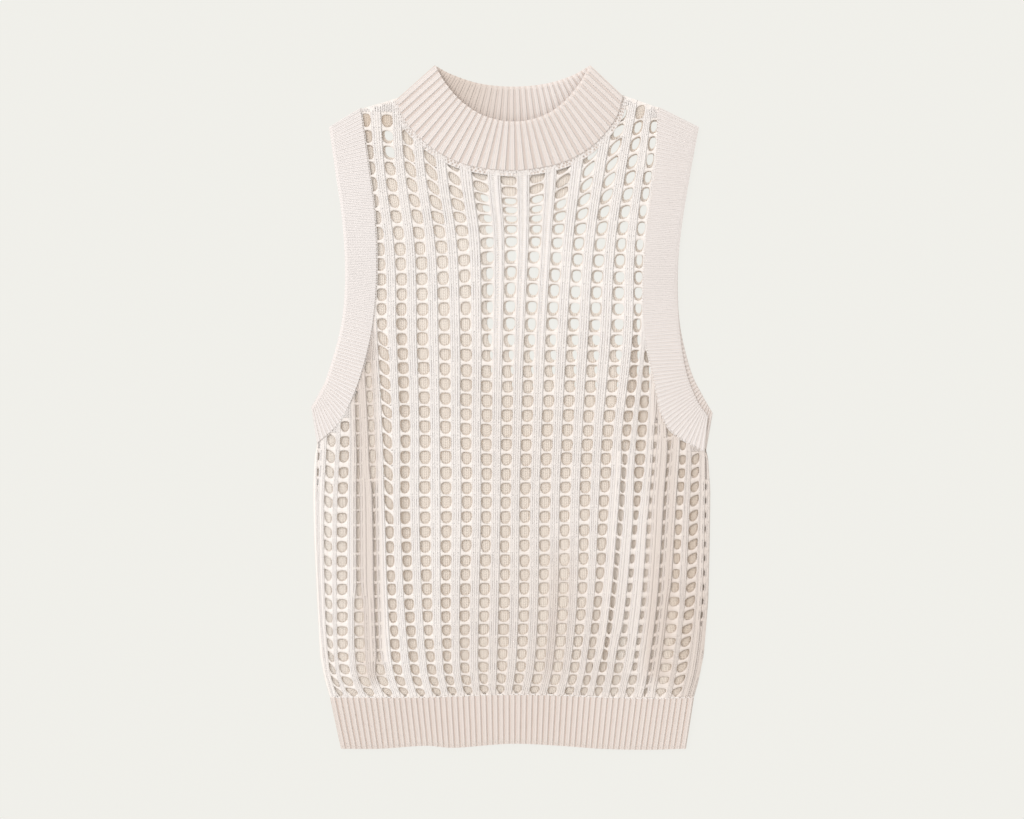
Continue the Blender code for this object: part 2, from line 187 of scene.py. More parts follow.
class Dusk(NamedTuple):
    """Shade over the front that grows towards the right between two x, and fades out with height."""

    strength: float
    from_x: float
    to_x: float
    full_up: float
    gone_up: float

    def at(self, x: np.ndarray, up: np.ndarray) -> np.ndarray:
        """The shade at points of the body."""
        grown = self.strength * smoothstep(self.from_x, self.to_x, x)
        return grown * (1 - smoothstep(self.full_up, self.gone_up, up))


class Opening(NamedTuple):
    """How a line's holes differ over a run of rows: their width, slant and height as shares.

    A width of zero closes them.
    """

    line: int
    first_row: float
    last_row: float
    width: float
    slant: float
    height: float = 1.0

    def holds(self, line: np.ndarray, row: np.ndarray) -> np.ndarray:
        """Whether holes lie in the run."""
        return (line == self.line) & (row >= self.first_row) & (row <= self.last_row)

    def reach(self, row: np.ndarray) -> np.ndarray:
        """How far the run is felt at a row: it fades in and out over two rows at its ends."""
        first, last = self.first_row, self.last_row
        return Plateau(first - 1.5, first + 0.5, last - 0.5, last + 1.5).at(row)


class Tint(NamedTuple):
    """A soft patch in which the back layer lies deeper in the shade, or is better lit (below zero)."""

    x: float
    up: float
    half_width: float
    half_height: float
    shade: float

    def at(self, x: np.ndarray, up: np.ndarray) -> np.ndarray:
        """The patch's shade at points of the body."""
        away = ((x - self.x) / self.half_width) ** 2 + ((up - self.up) / self.half_height) ** 2
        return self.shade * np.exp(-away)


LEFT_ARMBAND = (
    Edge(-0.1647, 0.5607, -0.1368, 0.5778),
    Edge(-0.1593, 0.5220, -0.1296, 0.5265),
    Edge(-0.1530, 0.4770, -0.1237, 0.4788),
    Edge(-0.1503, 0.4275, -0.1224, 0.4248),
    Edge(-0.1539, 0.3825, -0.1269, 0.3762),
    Edge(-0.1656, 0.3393, -0.1395, 0.3285),
    Edge(-0.1737, 0.3213, -0.1557, 0.2952),
    Edge(-0.1809, 0.3087, -0.1755, 0.2763),
)
RIGHT_ARMBAND = (
    Edge(0.1683, 0.5607, 0.1323, 0.5787),
    Edge(0.1611, 0.5220, 0.1296, 0.5256),
    Edge(0.1530, 0.4725, 0.1224, 0.4752),
    Edge(0.1489, 0.4275, 0.1188, 0.4275),
    Edge(0.1505, 0.3825, 0.1192, 0.3798),
    Edge(0.1566, 0.3420, 0.1269, 0.3393),
    Edge(0.1665, 0.3150, 0.1395, 0.2925),
    Edge(0.1764, 0.3006, 0.1732, 0.2685),
)
RIGHT_ARMBAND_BACK = (
    *RIGHT_ARMBAND[:3],
    Edge(0.1494, 0.4275, 0.1188, 0.4275),
    Edge(0.1515, 0.3825, 0.1215, 0.3798),
    Edge(0.1611, 0.3420, 0.1320, 0.3330),
    Edge(0.1719, 0.3190, 0.1500, 0.2960),
    Edge(0.1809, 0.3033, 0.1752, 0.2700),
)
COLLAR_FRONT = (
    Edge(-0.0693, 0.6165, -0.1035, 0.5859),
    Edge(-0.0594, 0.5994, -0.0954, 0.5661),
    Edge(-0.0441, 0.5823, -0.0738, 0.5436),
    Edge(-0.0234, 0.5697, -0.0423, 0.5274),
    Edge(0.0009, 0.5652, 0.0009, 0.5220),
    Edge(0.0261, 0.5697, 0.0432, 0.5283),
    Edge(0.0459, 0.5823, 0.0729, 0.5445),
    Edge(0.0603, 0.5994, 0.0927, 0.5679),
    Edge(0.0702, 0.6165, 0.0999, 0.5886),
)
COLLAR_BACK = (
    Edge(-0.0693, 0.6165, -0.1035, 0.5859),
    Edge(-0.0540, 0.6084, -0.0783, 0.5715),
    Edge(-0.0288, 0.6003, -0.0423, 0.5598),
    Edge(0.0009, 0.5976, 0.0009, 0.5553),
    Edge(0.0306, 0.6003, 0.0414, 0.5607),
    Edge(0.0540, 0.6075, 0.0774, 0.5733),
    Edge(0.0702, 0.6165, 0.0999, 0.5886),
)
HEM = (
    Edge(-0.1539, 0.0009, -0.1638, 0.0468),
    Edge(-0.1188, 0.0009, -0.1251, 0.0468),
    Edge(-0.0783, 0.0036, -0.0828, 0.0468),
    Edge(-0.0513, 0.0018, -0.0540, 0.0477),
    Edge(-0.0018, 0.0054, -0.0018, 0.0495),
    Edge(0.0432, 0.0036, 0.0459, 0.0486),
    Edge(0.0792, 0.0009, 0.0837, 0.0468),
    Edge(0.1197, 0.0000, 0.1260, 0.0459),
    Edge(0.1566, 0.0009, 0.1638, 0.0468),
)
SIDES = (
    Side(0.0468, -0.1638, 0.1638),
    Side(0.0630, -0.1687, 0.1683),
    Side(0.0855, -0.1728, 0.1728),
    Side(0.1350, -0.1755, 0.1769),
    Side(0.1890, -0.1782, 0.1782),
    Side(0.2340, -0.1791, 0.1787),
    Side(0.2610, -0.1780, 0.1768),
    Side(0.2763, -0.1755, 0.1732),
)
LINES = (0, 1, 2, 4, 6, 9, 12, 15, 17, 19, 21, 22, 23)
FRONT_NET = (
    Level(-0.5, 0.0468, 0.0495, 0.0468,
          (-0.1611, -0.1548, -0.1422, -0.1107, -0.0810, -0.0387, 0.0036,
           0.0504, 0.0765, 0.1053, 0.1332, 0.1472, 0.1584)),
    Level(2.0, 0.0729, 0.0756, 0.0747,
          (-0.1674, -0.1622, -0.1512, -0.1188, -0.0873, -0.0423, 0.0081,
           0.0567, 0.0819, 0.1107, 0.1386, 0.1535, 0.1656)),
    Level(7.0, 0.1323, 0.1332, 0.1341,
          (-0.1728, -0.1656, -0.1530, -0.1224, -0.0927, -0.0423, 0.0108,
           0.0630, 0.0909, 0.1188, 0.1458, 0.1606, 0.1719)),
    Level(14.0, 0.2232, 0.2232, 0.2250,
          (-0.1755, -0.1656, -0.1527, -0.1242, -0.0963, -0.0405, 0.0117,
           0.0657, 0.0990, 0.1251, 0.1512, 0.1645, 0.1746)),
    Level(19.0, 0.2925, 0.2880, 0.2880,
          (-0.1740, -0.1625, -0.1503, -0.1269, -0.0963, -0.0414, 0.0135,
           0.0684, 0.1035, 0.1296, 0.1548, 0.1660, 0.1746)),
    Level(25.0, 0.3708, 0.3690, 0.3690,
          (-0.1773, -0.1652, -0.1530, -0.1314, -0.0990, -0.0414, 0.0162,
           0.0738, 0.1125, 0.1323, 0.1566, 0.1668, 0.1755)),
    Level(31.0, 0.4518, 0.4581, 0.4554,
          (-0.1818, -0.1701, -0.1584, -0.1368, -0.1008, -0.0441, 0.0207,
           0.0792, 0.1152, 0.1368, 0.1602, 0.1692, 0.1782)),
    Level(36.0, 0.5247, 0.5031, 0.5319,
          (-0.1854, -0.1746, -0.1638, -0.1431, -0.1098, -0.0522, 0.0225,
           0.0900, 0.1242, 0.1458, 0.1674, 0.1755, 0.1836)),
    Level(40.0, 0.5823, 0.5472, 0.5922,
          (-0.1908, -0.1800, -0.1692, -0.1485, -0.1134, -0.0567, 0.0234,
           0.1008, 0.1314, 0.1530, 0.1728, 0.1809, 0.1890)),
)
FOLDS = (
    Fold(-0.1280, 0.0600, -0.1345, 0.3600, 0.0105, -0.0026),
    Fold(-0.0980, 0.0900, -0.1060, 0.3750, 0.0105, 0.0014),
    Fold(-0.1450, 0.0900, -0.1530, 0.3000, 0.0105, 0.0008),
    Fold(0.0880, 0.0700, 0.1080, 0.3500, 0.0125, 0.0013),
    Fold(0.1320, 0.0700, 0.1385, 0.3300, 0.0100, -0.0025),
    Fold(0.1560, 0.0700, 0.1620, 0.2900, 0.0090, 0.0008),
    Fold(0.0320, 0.0550, 0.0440, 0.1500, 0.0110, -0.0012),
    Fold(-0.0600, 0.0600, -0.0560, 0.1700, 0.0150, 0.0008),
)
OPENINGS = (
    Opening(0, -1.0, 15.0, 0.0, 0.0),
    Opening(0, 16.0, 19.0, 0.35, 0.0, 0.55),
    Opening(1, 0.0, 18.0, 1.25, -0.45, 0.85),
    Opening(2, 0.0, 19.0, 1.25, 0.0, 0.90),
    Opening(3, 8.0, 17.0, 0.40, 0.0),
    Opening(3, 17.0, 24.0, 0.55, 0.0),
    Opening(4, 3.0, 15.0, 0.30, 0.0, 0.90),
    Opening(4, 16.0, 26.0, 0.80, 0.0),
    Opening(5, 13.0, 25.0, 1.10, -0.75),
    Opening(5, 37.0, 41.0, 0.80, 0.0),
    Opening(17, 3.0, 17.0, 0.60, -0.5),
    Opening(18, 5.0, 13.0, 0.60, 0.0, 0.75),
    Opening(19, 2.0, 12.0, 0.50, 0.0, 0.72),
    Opening(18, 16.0, 25.0, 1.35, 0.0),
    Opening(19, 13.0, 18.0, 0.32, 0.0, 0.50),
    Opening(19, 19.0, 19.0, 0.25, 0.0, 0.60),
    Opening(19, 20.0, 27.0, 0.0, 0.0),
    Opening(20, 0.0, 18.0, 0.30, 0.4, 0.80),
    Opening(21, 0.0, 7.0, 1.30, 0.0, 0.78),
    Opening(21, 8.0, 18.0, 0.85, 0.0, 0.82),
    Opening(22, 0.0, 18.0, 1.25, 0.40, 0.85),
    Opening(23, -1.0, 5.0, 0.0, 0.0),
    Opening(23, 6.0, 19.0, 0.24, 0.0, 0.45),
)
BACK_OPENINGS = (
    Opening(1, -1.0, 20.0, 0.58, 0.0),
    Opening(2, -1.0, 20.0, 0.58, 0.0),
    Opening(17, 15.0, 26.0, 0.58, 0.0),
    Opening(18, 15.0, 26.0, 0.58, 0.0),
    Opening(20, -1.0, 19.0, 0.58, 0.0),
    Opening(21, -1.0, 19.0, 0.58, 0.0),
    Opening(22, -1.0, 19.0, 0.58, 0.0),
)
TINTS = (
    Tint(-0.1720, 0.1500, 0.0200, 0.2200, -0.36),
    Tint(-0.1230, 0.5680, 0.0180, 0.0180, 0.60),
    Tint(0.1560, 0.1800, 0.0200, 0.1600, 0.45),
    Tint(0.0985, 0.1700, 0.0080, 0.1200, -0.55),
    Tint(0.1130, 0.2900, 0.0060, 0.0900, 0.30),
    Tint(0.1250, 0.5500, 0.0200, 0.0250, 0.30),
    Tint(-0.0500, 0.4500, 0.1200, 0.1000, -0.22),
)
DUSKS = (
    Dusk(0.36, 0.130, 0.165, 0.30, 0.42),
    Dusk(0.14, -0.080, 0.000, 0.30, 0.44),
    Dusk(0.20, -0.100, -0.020, 0.09, 0.24),
)


def hermite(keys: np.ndarray, values: np.ndarray, at: np.ndarray) -> np.ndarray:
    """Values on smooth curves through keyed values, run straight past both ends.

    Args:
        keys: Rising keys, n of them.
        values: Values for the keys, as (n,) for one curve or (m, n) for a curve for each query.
        at: The m keys asked for.

    Returns:
        The m values.
    """
    keys = np.asarray(keys, float)
    at = np.asarray(at, float)
    values = np.broadcast_to(np.asarray(values, float), (len(at), len(keys)))
    last = len(keys) - 1
    slopes = np.empty_like(values)
    slopes[:, 1:-1] = (values[:, 2:] - values[:, :-2]) / (keys[2:] - keys[:-2])
    slopes[:, 0] = (values[:, 1] - values[:, 0]) / (keys[1] - keys[0])
    slopes[:, -1] = (values[:, -1] - values[:, -2]) / (keys[-1] - keys[-2])
    index = np.clip(np.searchsorted(keys, at) - 1, 0, last - 1)
    pick = np.arange(len(at))
    low, high = values[pick, index], values[pick, index + 1]
    low_slope, high_slope = slopes[pick, index], slopes[pick, index + 1]
    span = keys[index + 1] - keys[index]
    t = (at - keys[index]) / span
    s = np.clip(t, 0, 1)
    curve = (2 * s**3 - 3 * s**2 + 1) * low + (s**3 - 2 * s**2 + s) * low_slope * span
    curve += (3 * s**2 - 2 * s**3) * high + (s**3 - s**2) * high_slope * span
    curve += np.where(t < 0, low_slope * span * t, 0)
    curve += np.where(t > 1, high_slope * span * (t - 1), 0)
    return curve


@dataclass(frozen=True)
class Track:
    """A knitted strip's course on the plane, between its free edge and its linked edge."""

    rows: tuple[Edge, ...]

    def edges(self, position: np.ndarray) -> np.ndarray:
        """The edge stations at positions along the strip.

        Args:
            position: The m positions, counted in rows of the table.

        Returns:
            The stations, as (m, 4).
        """
        keys = np.arange(len(self.rows))
        table = np.array(self.rows)
        return np.stack([hermite(keys, table[:, column], position) for column in range(4)], axis=1)

    def steps(self) -> tuple[np.ndarray, np.ndarray]:
        """Close positions along the strip, and the lengths of its middle between them.

        Returns:
            The positions, counted in rows of the table, and the lengths.
        """
        fine = np.linspace(0, len(self.rows) - 1, TRACK_STEPS * len(self.rows))
        edge = self.edges(fine)
        middle = (edge[:, :2] + edge[:, 2:]) / 2
        return fine, np.linalg.norm(np.diff(middle, axis=0), axis=1)

    def positions(self, share: np.ndarray) -> np.ndarray:
        """Positions counted in rows for shares of the strip's middle length.

        Args:
            share: Shares from 0 to 1.

        Returns:
            The positions.
        """
        fine, steps = self.steps()
        lengths = np.concatenate([[0], np.cumsum(steps)])
        return np.interp(share, lengths / lengths[-1], fine)

    def length(self) -> float:
        """Length of the strip along its middle."""
        return float(self.steps()[1].sum())

    def width(self) -> float:
        """Mean width of the strip."""
        edge = self.edges(np.linspace(0, len(self.rows) - 1, TRACK_STEPS))
        return float(np.linalg.norm(edge[:, :2] - edge[:, 2:], axis=1).mean())

    def linked_edge(self, count: int, tuck: float) -> np.ndarray:
        """Points just inside the strip, at a width from its linked edge.

        Args:
            count: Number of points.
            tuck: Distance from the linked edge towards the free edge.

        Returns:
            The points, as (count, 2).
        """
        edge = self.edges(self.positions(np.linspace(0, 1, count)))
        across = edge[:, :2] - edge[:, 2:]
        across /= np.linalg.norm(across, axis=1)[:, None]
        return edge[:, 2:] + across * tuck


@dataclass(frozen=True)
class Outline:
    """A closed outline on the plane, run anticlockwise."""

    points: np.ndarray

    def area(self) -> float:
        """Area within the outline."""
        x, up = self.points.T
        return abs(np.dot(x, np.roll(up, -1)) - np.dot(up, np.roll(x, -1))) / 2

    def nearest(self, at: np.ndarray) -> tuple[np.ndarray, np.ndarray]:
        """Nearest points of the outline, and the distances to it, above zero inside.

        Args:
            at: The (m, 2) points asked for.

        Returns:
            The (m, 2) nearest points and the m signed distances.
        """
        best = np.full(len(at), np.inf)
        place = np.zeros_like(at)
        inside = np.zeros(len(at), bool)
        for start, end in zip(self.points, np.roll(self.points, -1, axis=0)):
            along = end - start
            share = np.clip(((at - start) @ along) / max(along @ along, 1e-12), 0, 1)
            foot = start + share[:, None] * along
            distance = np.linalg.norm(at - foot, axis=1)
            closer = distance < best
            best[closer] = distance[closer]
            place[closer] = foot[closer]
            if start[1] != end[1]:
                crosses = (start[1] > at[:, 1]) != (end[1] > at[:, 1])
                cut = start[0] + (at[:, 1] - start[1]) * along[0] / along[1]
                inside ^= crosses & (at[:, 0] < cut)
        return place, np.where(inside, best, -best)


@dataclass(frozen=True)
class Drape:
    """How the front layer lies on the back layer. Every x and up below is of points of the body."""

    folds: tuple[Fold, ...]
    fullness: float = 1.3                              # scales the rise of every fold
    above_hem: tuple[float, float] = (0.045, 0.080)    # heights between which the folds set in
    shade_spread: float = 1.35                         # width of a trough's shade, as a share of its own
    full_shade: float = 0.0022                         # depth of a trough that lies fully in shade
    left_shade: float = 0.64                           # how dark that shade is in the left half
    right_shade: float = 0.46                          # and in the right half

    def rise(self, x: np.ndarray, up: np.ndarray, spread: float = 1.0) -> np.ndarray:
        """Rise of the folds.

        Args:
            x: Distance from the garment's middle.
            up: Height up the garment.
            spread: Share of its width to which each fold is widened.

        Returns:
            The rise.
        """
        total = np.zeros_like(x)
        for fold in self.folds:
            total += fold.at(x, up, spread)
        return total * self.fullness * smoothstep(*self.above_hem, up)

    def shade(self, x: np.ndarray, up: np.ndarray) -> np.ndarray:
        """How far the front lies in shade.

        Args:
            x: Distance from the garment's middle.
            up: Height up the garment.

        Returns:
            The shade, from 0 to 1.
        """
        depth = np.clip(-self.rise(x, up, self.shade_spread) / self.full_shade, 0, 1)
        total = depth * np.where(x < 0, self.left_shade, self.right_shade)
        for dusk in DUSKS:
            total = total + dusk.at(x, up)
        return np.minimum(total, 1)

    def side_distance(self, x: np.ndarray, up: np.ndarray) -> np.ndarray:
        """Distance to the body's side edges, at least zero.

        Args:
            x: Distance from the garment's middle.
            up: Height up the garment.

        Returns:
            The distance to the nearer side.
        """
        rows = np.array(SIDES)
        height = np.minimum(up, SIDES[-1].up)
        left = hermite(rows[:, 0], rows[:, 1], height)
        right = hermite(rows[:, 0], rows[:, 2], height)
        return np.maximum(np.minimum(x - left, right - x), 0)

    def shoulder_distance(self, x: np.ndarray, up: np.ndarray) -> np.ndarray:
        """Distance down from the body's shoulder line, at least zero."""
        neck = COLLAR_FRONT[0]
        return np.maximum(neck.inner_up - (np.abs(x) - abs(neck.inner_x)) * SHOULDER_SLOPE - up, 0)

    def front(self, x: np.ndarray, up: np.ndarray) -> tuple[np.ndarray, np.ndarray]:
        """Heights of the front panel's faces, rounded down to the back at its side edges.

        Args:
            x: Distance from the garment's middle.
            up: Height up the garment.

        Returns:
            The heights of the inner and of the outer face.
        """
        distance = np.minimum(self.side_distance(x, up), self.shoulder_distance(x, up))
        inside = 1 - np.exp(-((distance / EDGE_FALL) ** 2))
        rise = self.rise(x, up) * inside
        under = PANEL_WALL + LAYER_GAP + np.maximum(inside * BODY_LOFT + rise, 0)
        over = under + PANEL_WALL
        share = quarter_round(distance, EDGE_ROUND)
        inner = EDGE_HEIGHT + (under - EDGE_HEIGHT) * share
        return inner, EDGE_HEIGHT + EDGE_WALL + (over - EDGE_HEIGHT) * share

    def back(self, x: np.ndarray, up: np.ndarray) -> tuple[np.ndarray, np.ndarray]:
        """Heights of the back panel's faces: flat on the floor, and curled up at its sides.

        Args:
            x: Distance from the garment's middle.
            up: Height up the garment.

        Returns:
            The heights of the lower and of the upper face.
        """
        share = quarter_round(self.side_distance(x, up), EDGE_ROUND)
        lower = EDGE_HEIGHT * BACK_CURL * (1 - share)
        return lower, lower + EDGE_WALL + (PANEL_WALL - EDGE_WALL) * share


@dataclass(frozen=True)
class NetMap:
    """Where the lines and rows of a net's holes lie on the plane."""

    levels: tuple[Level, ...]
    side_lines: tuple[float, float] = (5.0, 16.0)            # lines at which up_left and up_right hold
    middle_line: float = 11.2
    dip_width: float = 2.6                                   # of the rows' dip under the neck, in lines
    shift_rows: float = 0.0                                  # how far the rows lie above the table's
    between: float = 0.0                                     # how far the lines lie between the table's
    seen_rows: tuple[float, float] = (20.0, 27.0)            # holes are seen through above these rows
    seen_lines: Plateau = Plateau(8.4, 10.6, 17.5, 19.0)     # and on these lines
    shoulder_rows: Plateau = Plateau(35.8, 36.8, 38.2, 38.8)     # and in one spot of the shoulder
    shoulder_line: float = 5.9
    shoulder_width: float = 0.7
    free_lines: Plateau = Plateau(-0.5, 0.6, 22.2, 23.5)     # lines that may lie between the table's
    meeting: float = 0.92                                    # how far the lines meet where seen through

    def shift(self, line: np.ndarray, row: np.ndarray) -> np.ndarray:
        """How far the lines lie to the right of the table's.

        Args:
            line: Lines of the points asked for.
            row: Their rows.

        Returns:
            The shift in lines; it is small where holes are seen through both layers.
        """
        seen = smoothstep(*self.seen_rows, row) * self.seen_lines.at(line)
        spot = np.exp(-(((line - self.shoulder_line) / self.shoulder_width) ** 2))
        seen = np.maximum(seen, self.shoulder_rows.at(row) * spot)
        return self.between * self.free_lines.at(line) * (1 - self.meeting * seen)

    def place(self, line: np.ndarray, row: np.ndarray) -> tuple[np.ndarray, np.ndarray]:
        """Places of points given in lines and rows.

        Args:
            line: Lines of the points.
            row: Their rows.

        Returns:
            The x and the up of each point.
        """
        keys = [level.row for level in self.levels]
        line = line + self.shift(line, row)
        row = row + self.shift_rows
        left = hermite(keys, [level.up_left for level in self.levels], row)
        middle = hermite(keys, [level.up_middle for level in self.levels], row)
        right = hermite(keys, [level.up_right for level in self.levels], row)
        low, high = self.side_lines
        up = left + (right - left) * smoothstep(low, high, line)
        up += (middle - up) * np.exp(-(((line - self.middle_line) / self.dip_width) ** 2))
        columns = [hermite(keys, column, row) for column in zip(*(level.x for level in self.levels))]
        inner = np.clip(line, LINES[0], LINES[-1])
        x = hermite(LINES, np.stack(columns, axis=1), inner)
        sides = np.array(SIDES)
        height = np.minimum(up, SIDES[-1].up)
        edge = np.where(line < inner, hermite(sides[:, 0], sides[:, 1], height),
                        hermite(sides[:, 0], sides[:, 2], height))
        past = np.clip(np.abs(line - inner) / CELL, 0, 1)
        return x + (edge - x) * past, up

    def moved(self, line: np.ndarray, row: np.ndarray,
              move: np.ndarray) -> tuple[np.ndarray, np.ndarray]:
        """Lines and rows of points after a small move on the plane.

        Args:
            line: Their lines before it.
            row: Their rows before it.
            move: The (m, 2) moves.

        Returns:
            The lines and the rows after it.
        """
        step = 0.1
        least = 1e-8
        here = np.stack(self.place(line, row), axis=1)
        by_line = (np.stack(self.place(line + step, row), axis=1) - here) / step
        by_row = (np.stack(self.place(line, row + step), axis=1) - here) / step
        area = by_line[:, 0] * by_row[:, 1] - by_line[:, 1] * by_row[:, 0]
        area = np.where(np.abs(area) < least, least, area)
        return (line + (move[:, 0] * by_row[:, 1] - move[:, 1] * by_row[:, 0]) / area,
                row + (by_line[:, 0] * move[:, 1] - by_line[:, 1] * move[:, 0]) / area)


def new_object(name: str, mesh: bpy.types.Mesh, finish: bpy.types.Material,
               crease: float = pi) -> bpy.types.Object:
    """Links a mesh to the scene as one smooth piece with its finish.

    Args:
        name: Name of the piece.
        mesh: Its mesh.
        finish: Its material.
        crease: Faces that meet at more than this keep a crisp edge between them.

    Returns:
        The piece.
    """
    mesh.materials.append(finish)
    mesh.shade_smooth()
    mesh.set_sharp_from_angle(angle=crease)
    piece = bpy.data.objects.new(name, mesh)
    bpy.context.scene.collection.objects.link(piece)
    return piece


def mesh_points(mesh: bpy.types.Mesh) -> np.ndarray:
    """A mesh's points.

    Args:
        mesh: The mesh.

    Returns:
        The points, as (n, 3).
    """
    points = np.empty(len(mesh.vertices) * 3)
    mesh.vertices.foreach_get("co", points)
    return points.reshape(-1, 3)


def to_mesh(name: str, net: bmesh.types.BMesh) -> tuple[bpy.types.Mesh, np.ndarray]:
    """Turns a bmesh into a mesh, and gives its points as an array.

    Args:
        name: Name of the mesh.
        net: The bmesh, which is freed.

    Returns:
        The mesh and its (n, 3) points.
    """
    mesh = bpy.data.meshes.new(name)
    net.to_mesh(mesh)
    net.free()
    return mesh, mesh_points(mesh)


def thicken(net: bmesh.types.BMesh) -> None:
    """Makes a flat sheet a closed shell, 1 high.

    Args:
        net: The sheet.
    """
    made = bmesh.ops.extrude_face_region(net, geom=net.faces[:], use_keep_orig=True)
    top = [item for item in made["geom"] if isinstance(item, bmesh.types.BMVert)]
    bmesh.ops.translate(net, verts=top, vec=(0, 0, 1))


def set_points(mesh: bpy.types.Mesh, x: np.ndarray, up: np.ndarray, z: np.ndarray) -> None:
    """Moves a mesh's points to their places on the garment.

    Args:
        mesh: The mesh.
        x: Distance from the garment's middle.
        up: Height up the garment.
        z: Height above the floor.
    """
    points = np.stack([x, up - LENGTH / 2, z], axis=1)
    mesh.vertices.foreach_set("co", points.ravel())
    mesh.update()


def weld(mesh: bpy.types.Mesh) -> None:
    """Merges points that lie on one spot.

    Args:
        mesh: The mesh, which is changed.
    """
    net = bmesh.new()
    net.from_mesh(mesh)
    bmesh.ops.remove_doubles(net, verts=net.verts, dist=MERGE)
    net.to_mesh(mesh)
    net.free()


def set_uv(mesh: bpy.types.Mesh, u: np.ndarray, v: np.ndarray) -> None:
    """Writes a UV map.

    Args:
        mesh: The mesh.
        u: First value for each point.
        v: Second value for each point.
    """
    layer = mesh.uv_layers.new(name="knit")
    corners = np.empty(len(mesh.loops), np.int32)
    mesh.loops.foreach_get("vertex_index", corners)
    layer.data.foreach_set("uv", np.stack([u[corners], v[corners]], axis=1).ravel())


def set_mask(mesh: bpy.types.Mesh, name: str, values: np.ndarray) -> None:
    """Writes one value for each point as a named attribute."""
    layer = mesh.attributes.new(name, "FLOAT", "POINT")
    layer.data.foreach_set("value", values.astype(np.float32))


@dataclass(frozen=True)
class Bead:
    """A leg of a V stitch as a plump bead of yarn.

    Sizes across are in the chart's units, those along are in stitches, and the height is in metres.
    """

    width: float
    spread: float                # from the middle of its wale
    lean: float                  # outwards from its lower to its upper end
    length: float = 1.55
    height: float = 0.0015

    def stitch(self, wales: tuple[float, ...]) -> bmesh.types.BMesh:
        """One V stitch on each wale, its two legs leaning apart.

        Args:
            wales: Middles of the wales.

        Returns:
            The stitches.
        """
        made = bmesh.new()
        for wale in wales:
            for side in (-1, 1):
                verts = bmesh.ops.create_uvsphere(
                    made, u_segments=BEAD_SIDES, v_segments=BEAD_RINGS, radius=0.5)["verts"]
                turn = Matrix.Rotation(pi / 2, 3, "X")
                bmesh.ops.rotate(made, verts=verts, cent=(0, 0, 0), matrix=turn)
                bmesh.ops.scale(made, verts=verts, vec=(self.width, self.length, self.height))
                shear = Matrix.Identity(4)
                shear[0][1] = side * self.lean / self.length
                bmesh.ops.transform(made, verts=verts, matrix=shear)
                bmesh.ops.translate(made, verts=verts, vec=(wale + side * self.spread, 0.5, 0))
        return made

    def chart(self, name: str, wales: tuple[float, ...], columns: int, pitch: float,
              stitches: int) -> tuple[bpy.types.Mesh, np.ndarray]:
        """A flat chart of stacked V stitches.

        Args:
            name: Name of the mesh.
            wales: Middles of the wales in each column.
            columns: Number of columns.
            pitch: Distance between columns.
            stitches: Number of stitches in each wale.

        Returns:
            The mesh and its points.
        """
        mesh, _ = to_mesh(name, self.stitch(wales))
        holder = bpy.data.objects.new(name, mesh)
        bpy.context.scene.collection.objects.link(holder)
        for count, offset in ((stitches, (0, 1, 0)), (columns, (pitch, 0, 0))):
            array = holder.modifiers.new("repeat", "ARRAY")
            array.count = count
            array.use_relative_offset = False
            array.use_constant_offset = True
            array.constant_offset_displace = offset
        graph = bpy.context.evaluated_depsgraph_get()
        made = bpy.data.meshes.new_from_object(holder.evaluated_get(graph))
        bpy.data.objects.remove(holder)
        bpy.data.meshes.remove(mesh)
        made.name = name
        return made, mesh_points(made)

    @staticmethod
    def kept(mesh: bpy.types.Mesh, keep: np.ndarray) -> bpy.types.Mesh:
        """Deletes the beads of a chart that aren't kept.

        Args:
            mesh: The chart.
            keep: Whether each bead stays.

        Returns:
            The chart.
        """
        beads = bmesh.new()
        beads.from_mesh(mesh)
        stays = np.repeat(keep, BEAD_POINTS)
        gone = [vert for vert, is_kept in zip(beads.verts, stays) if not is_kept]
        bmesh.ops.delete(beads, geom=gone, context="VERTS")
        beads.to_mesh(mesh)
        beads.free()
        return mesh


def bead_means(values: np.ndarray) -> np.ndarray:
    """Mean of the values of each bead's points."""
    return values.reshape(-1, BEAD_POINTS).mean(axis=1)


def bead_local(points: np.ndarray) -> np.ndarray:
    """Points of beads, measured from the middle of their own bead."""
    middles = points.reshape(-1, BEAD_POINTS, 3).mean(axis=1)
    return points - np.repeat(middles, BEAD_POINTS, axis=0)


class Layer(Enum):
    """The two layers of the garment as it lies."""

    FRONT = "front"
    BACK = "back"


@dataclass(frozen=True)
class Slants:
    """How a net's rungs slant beside its neck and above its hem."""

    neck: float = 0.95
    neck_line: float = 3.4                            # lines off the middle where it is strongest
    neck_width: float = 1.6                           # and how far it reaches from there
    neck_rows: Plateau = Plateau(29.0, 37.0, 37.4, 38.6)
    hem: float = -0.35
    hem_rows: tuple[float, float] = (0.0, 5.0)        # it fades out between these rows
    hem_lines: tuple[float, float] = (11.0, 13.0)     # and between these lines

    def at(self, line: np.ndarray, row: np.ndarray, middle: float) -> np.ndarray:
        """Slant of holes.

        Args:
            line: Their lines.
            row: Their rows.
            middle: The net's middle line.

        Returns:
            The slant.
        """
        side = line - middle
        beside_neck = np.exp(-(((np.abs(side) - self.neck_line) / self.neck_width) ** 2))
        total = self.neck * np.sign(side) * beside_neck * self.neck_rows.at(row)
        low = 1 - smoothstep(*self.hem_rows, row)
        return total + self.hem * low * (1 - smoothstep(*self.hem_lines, line))


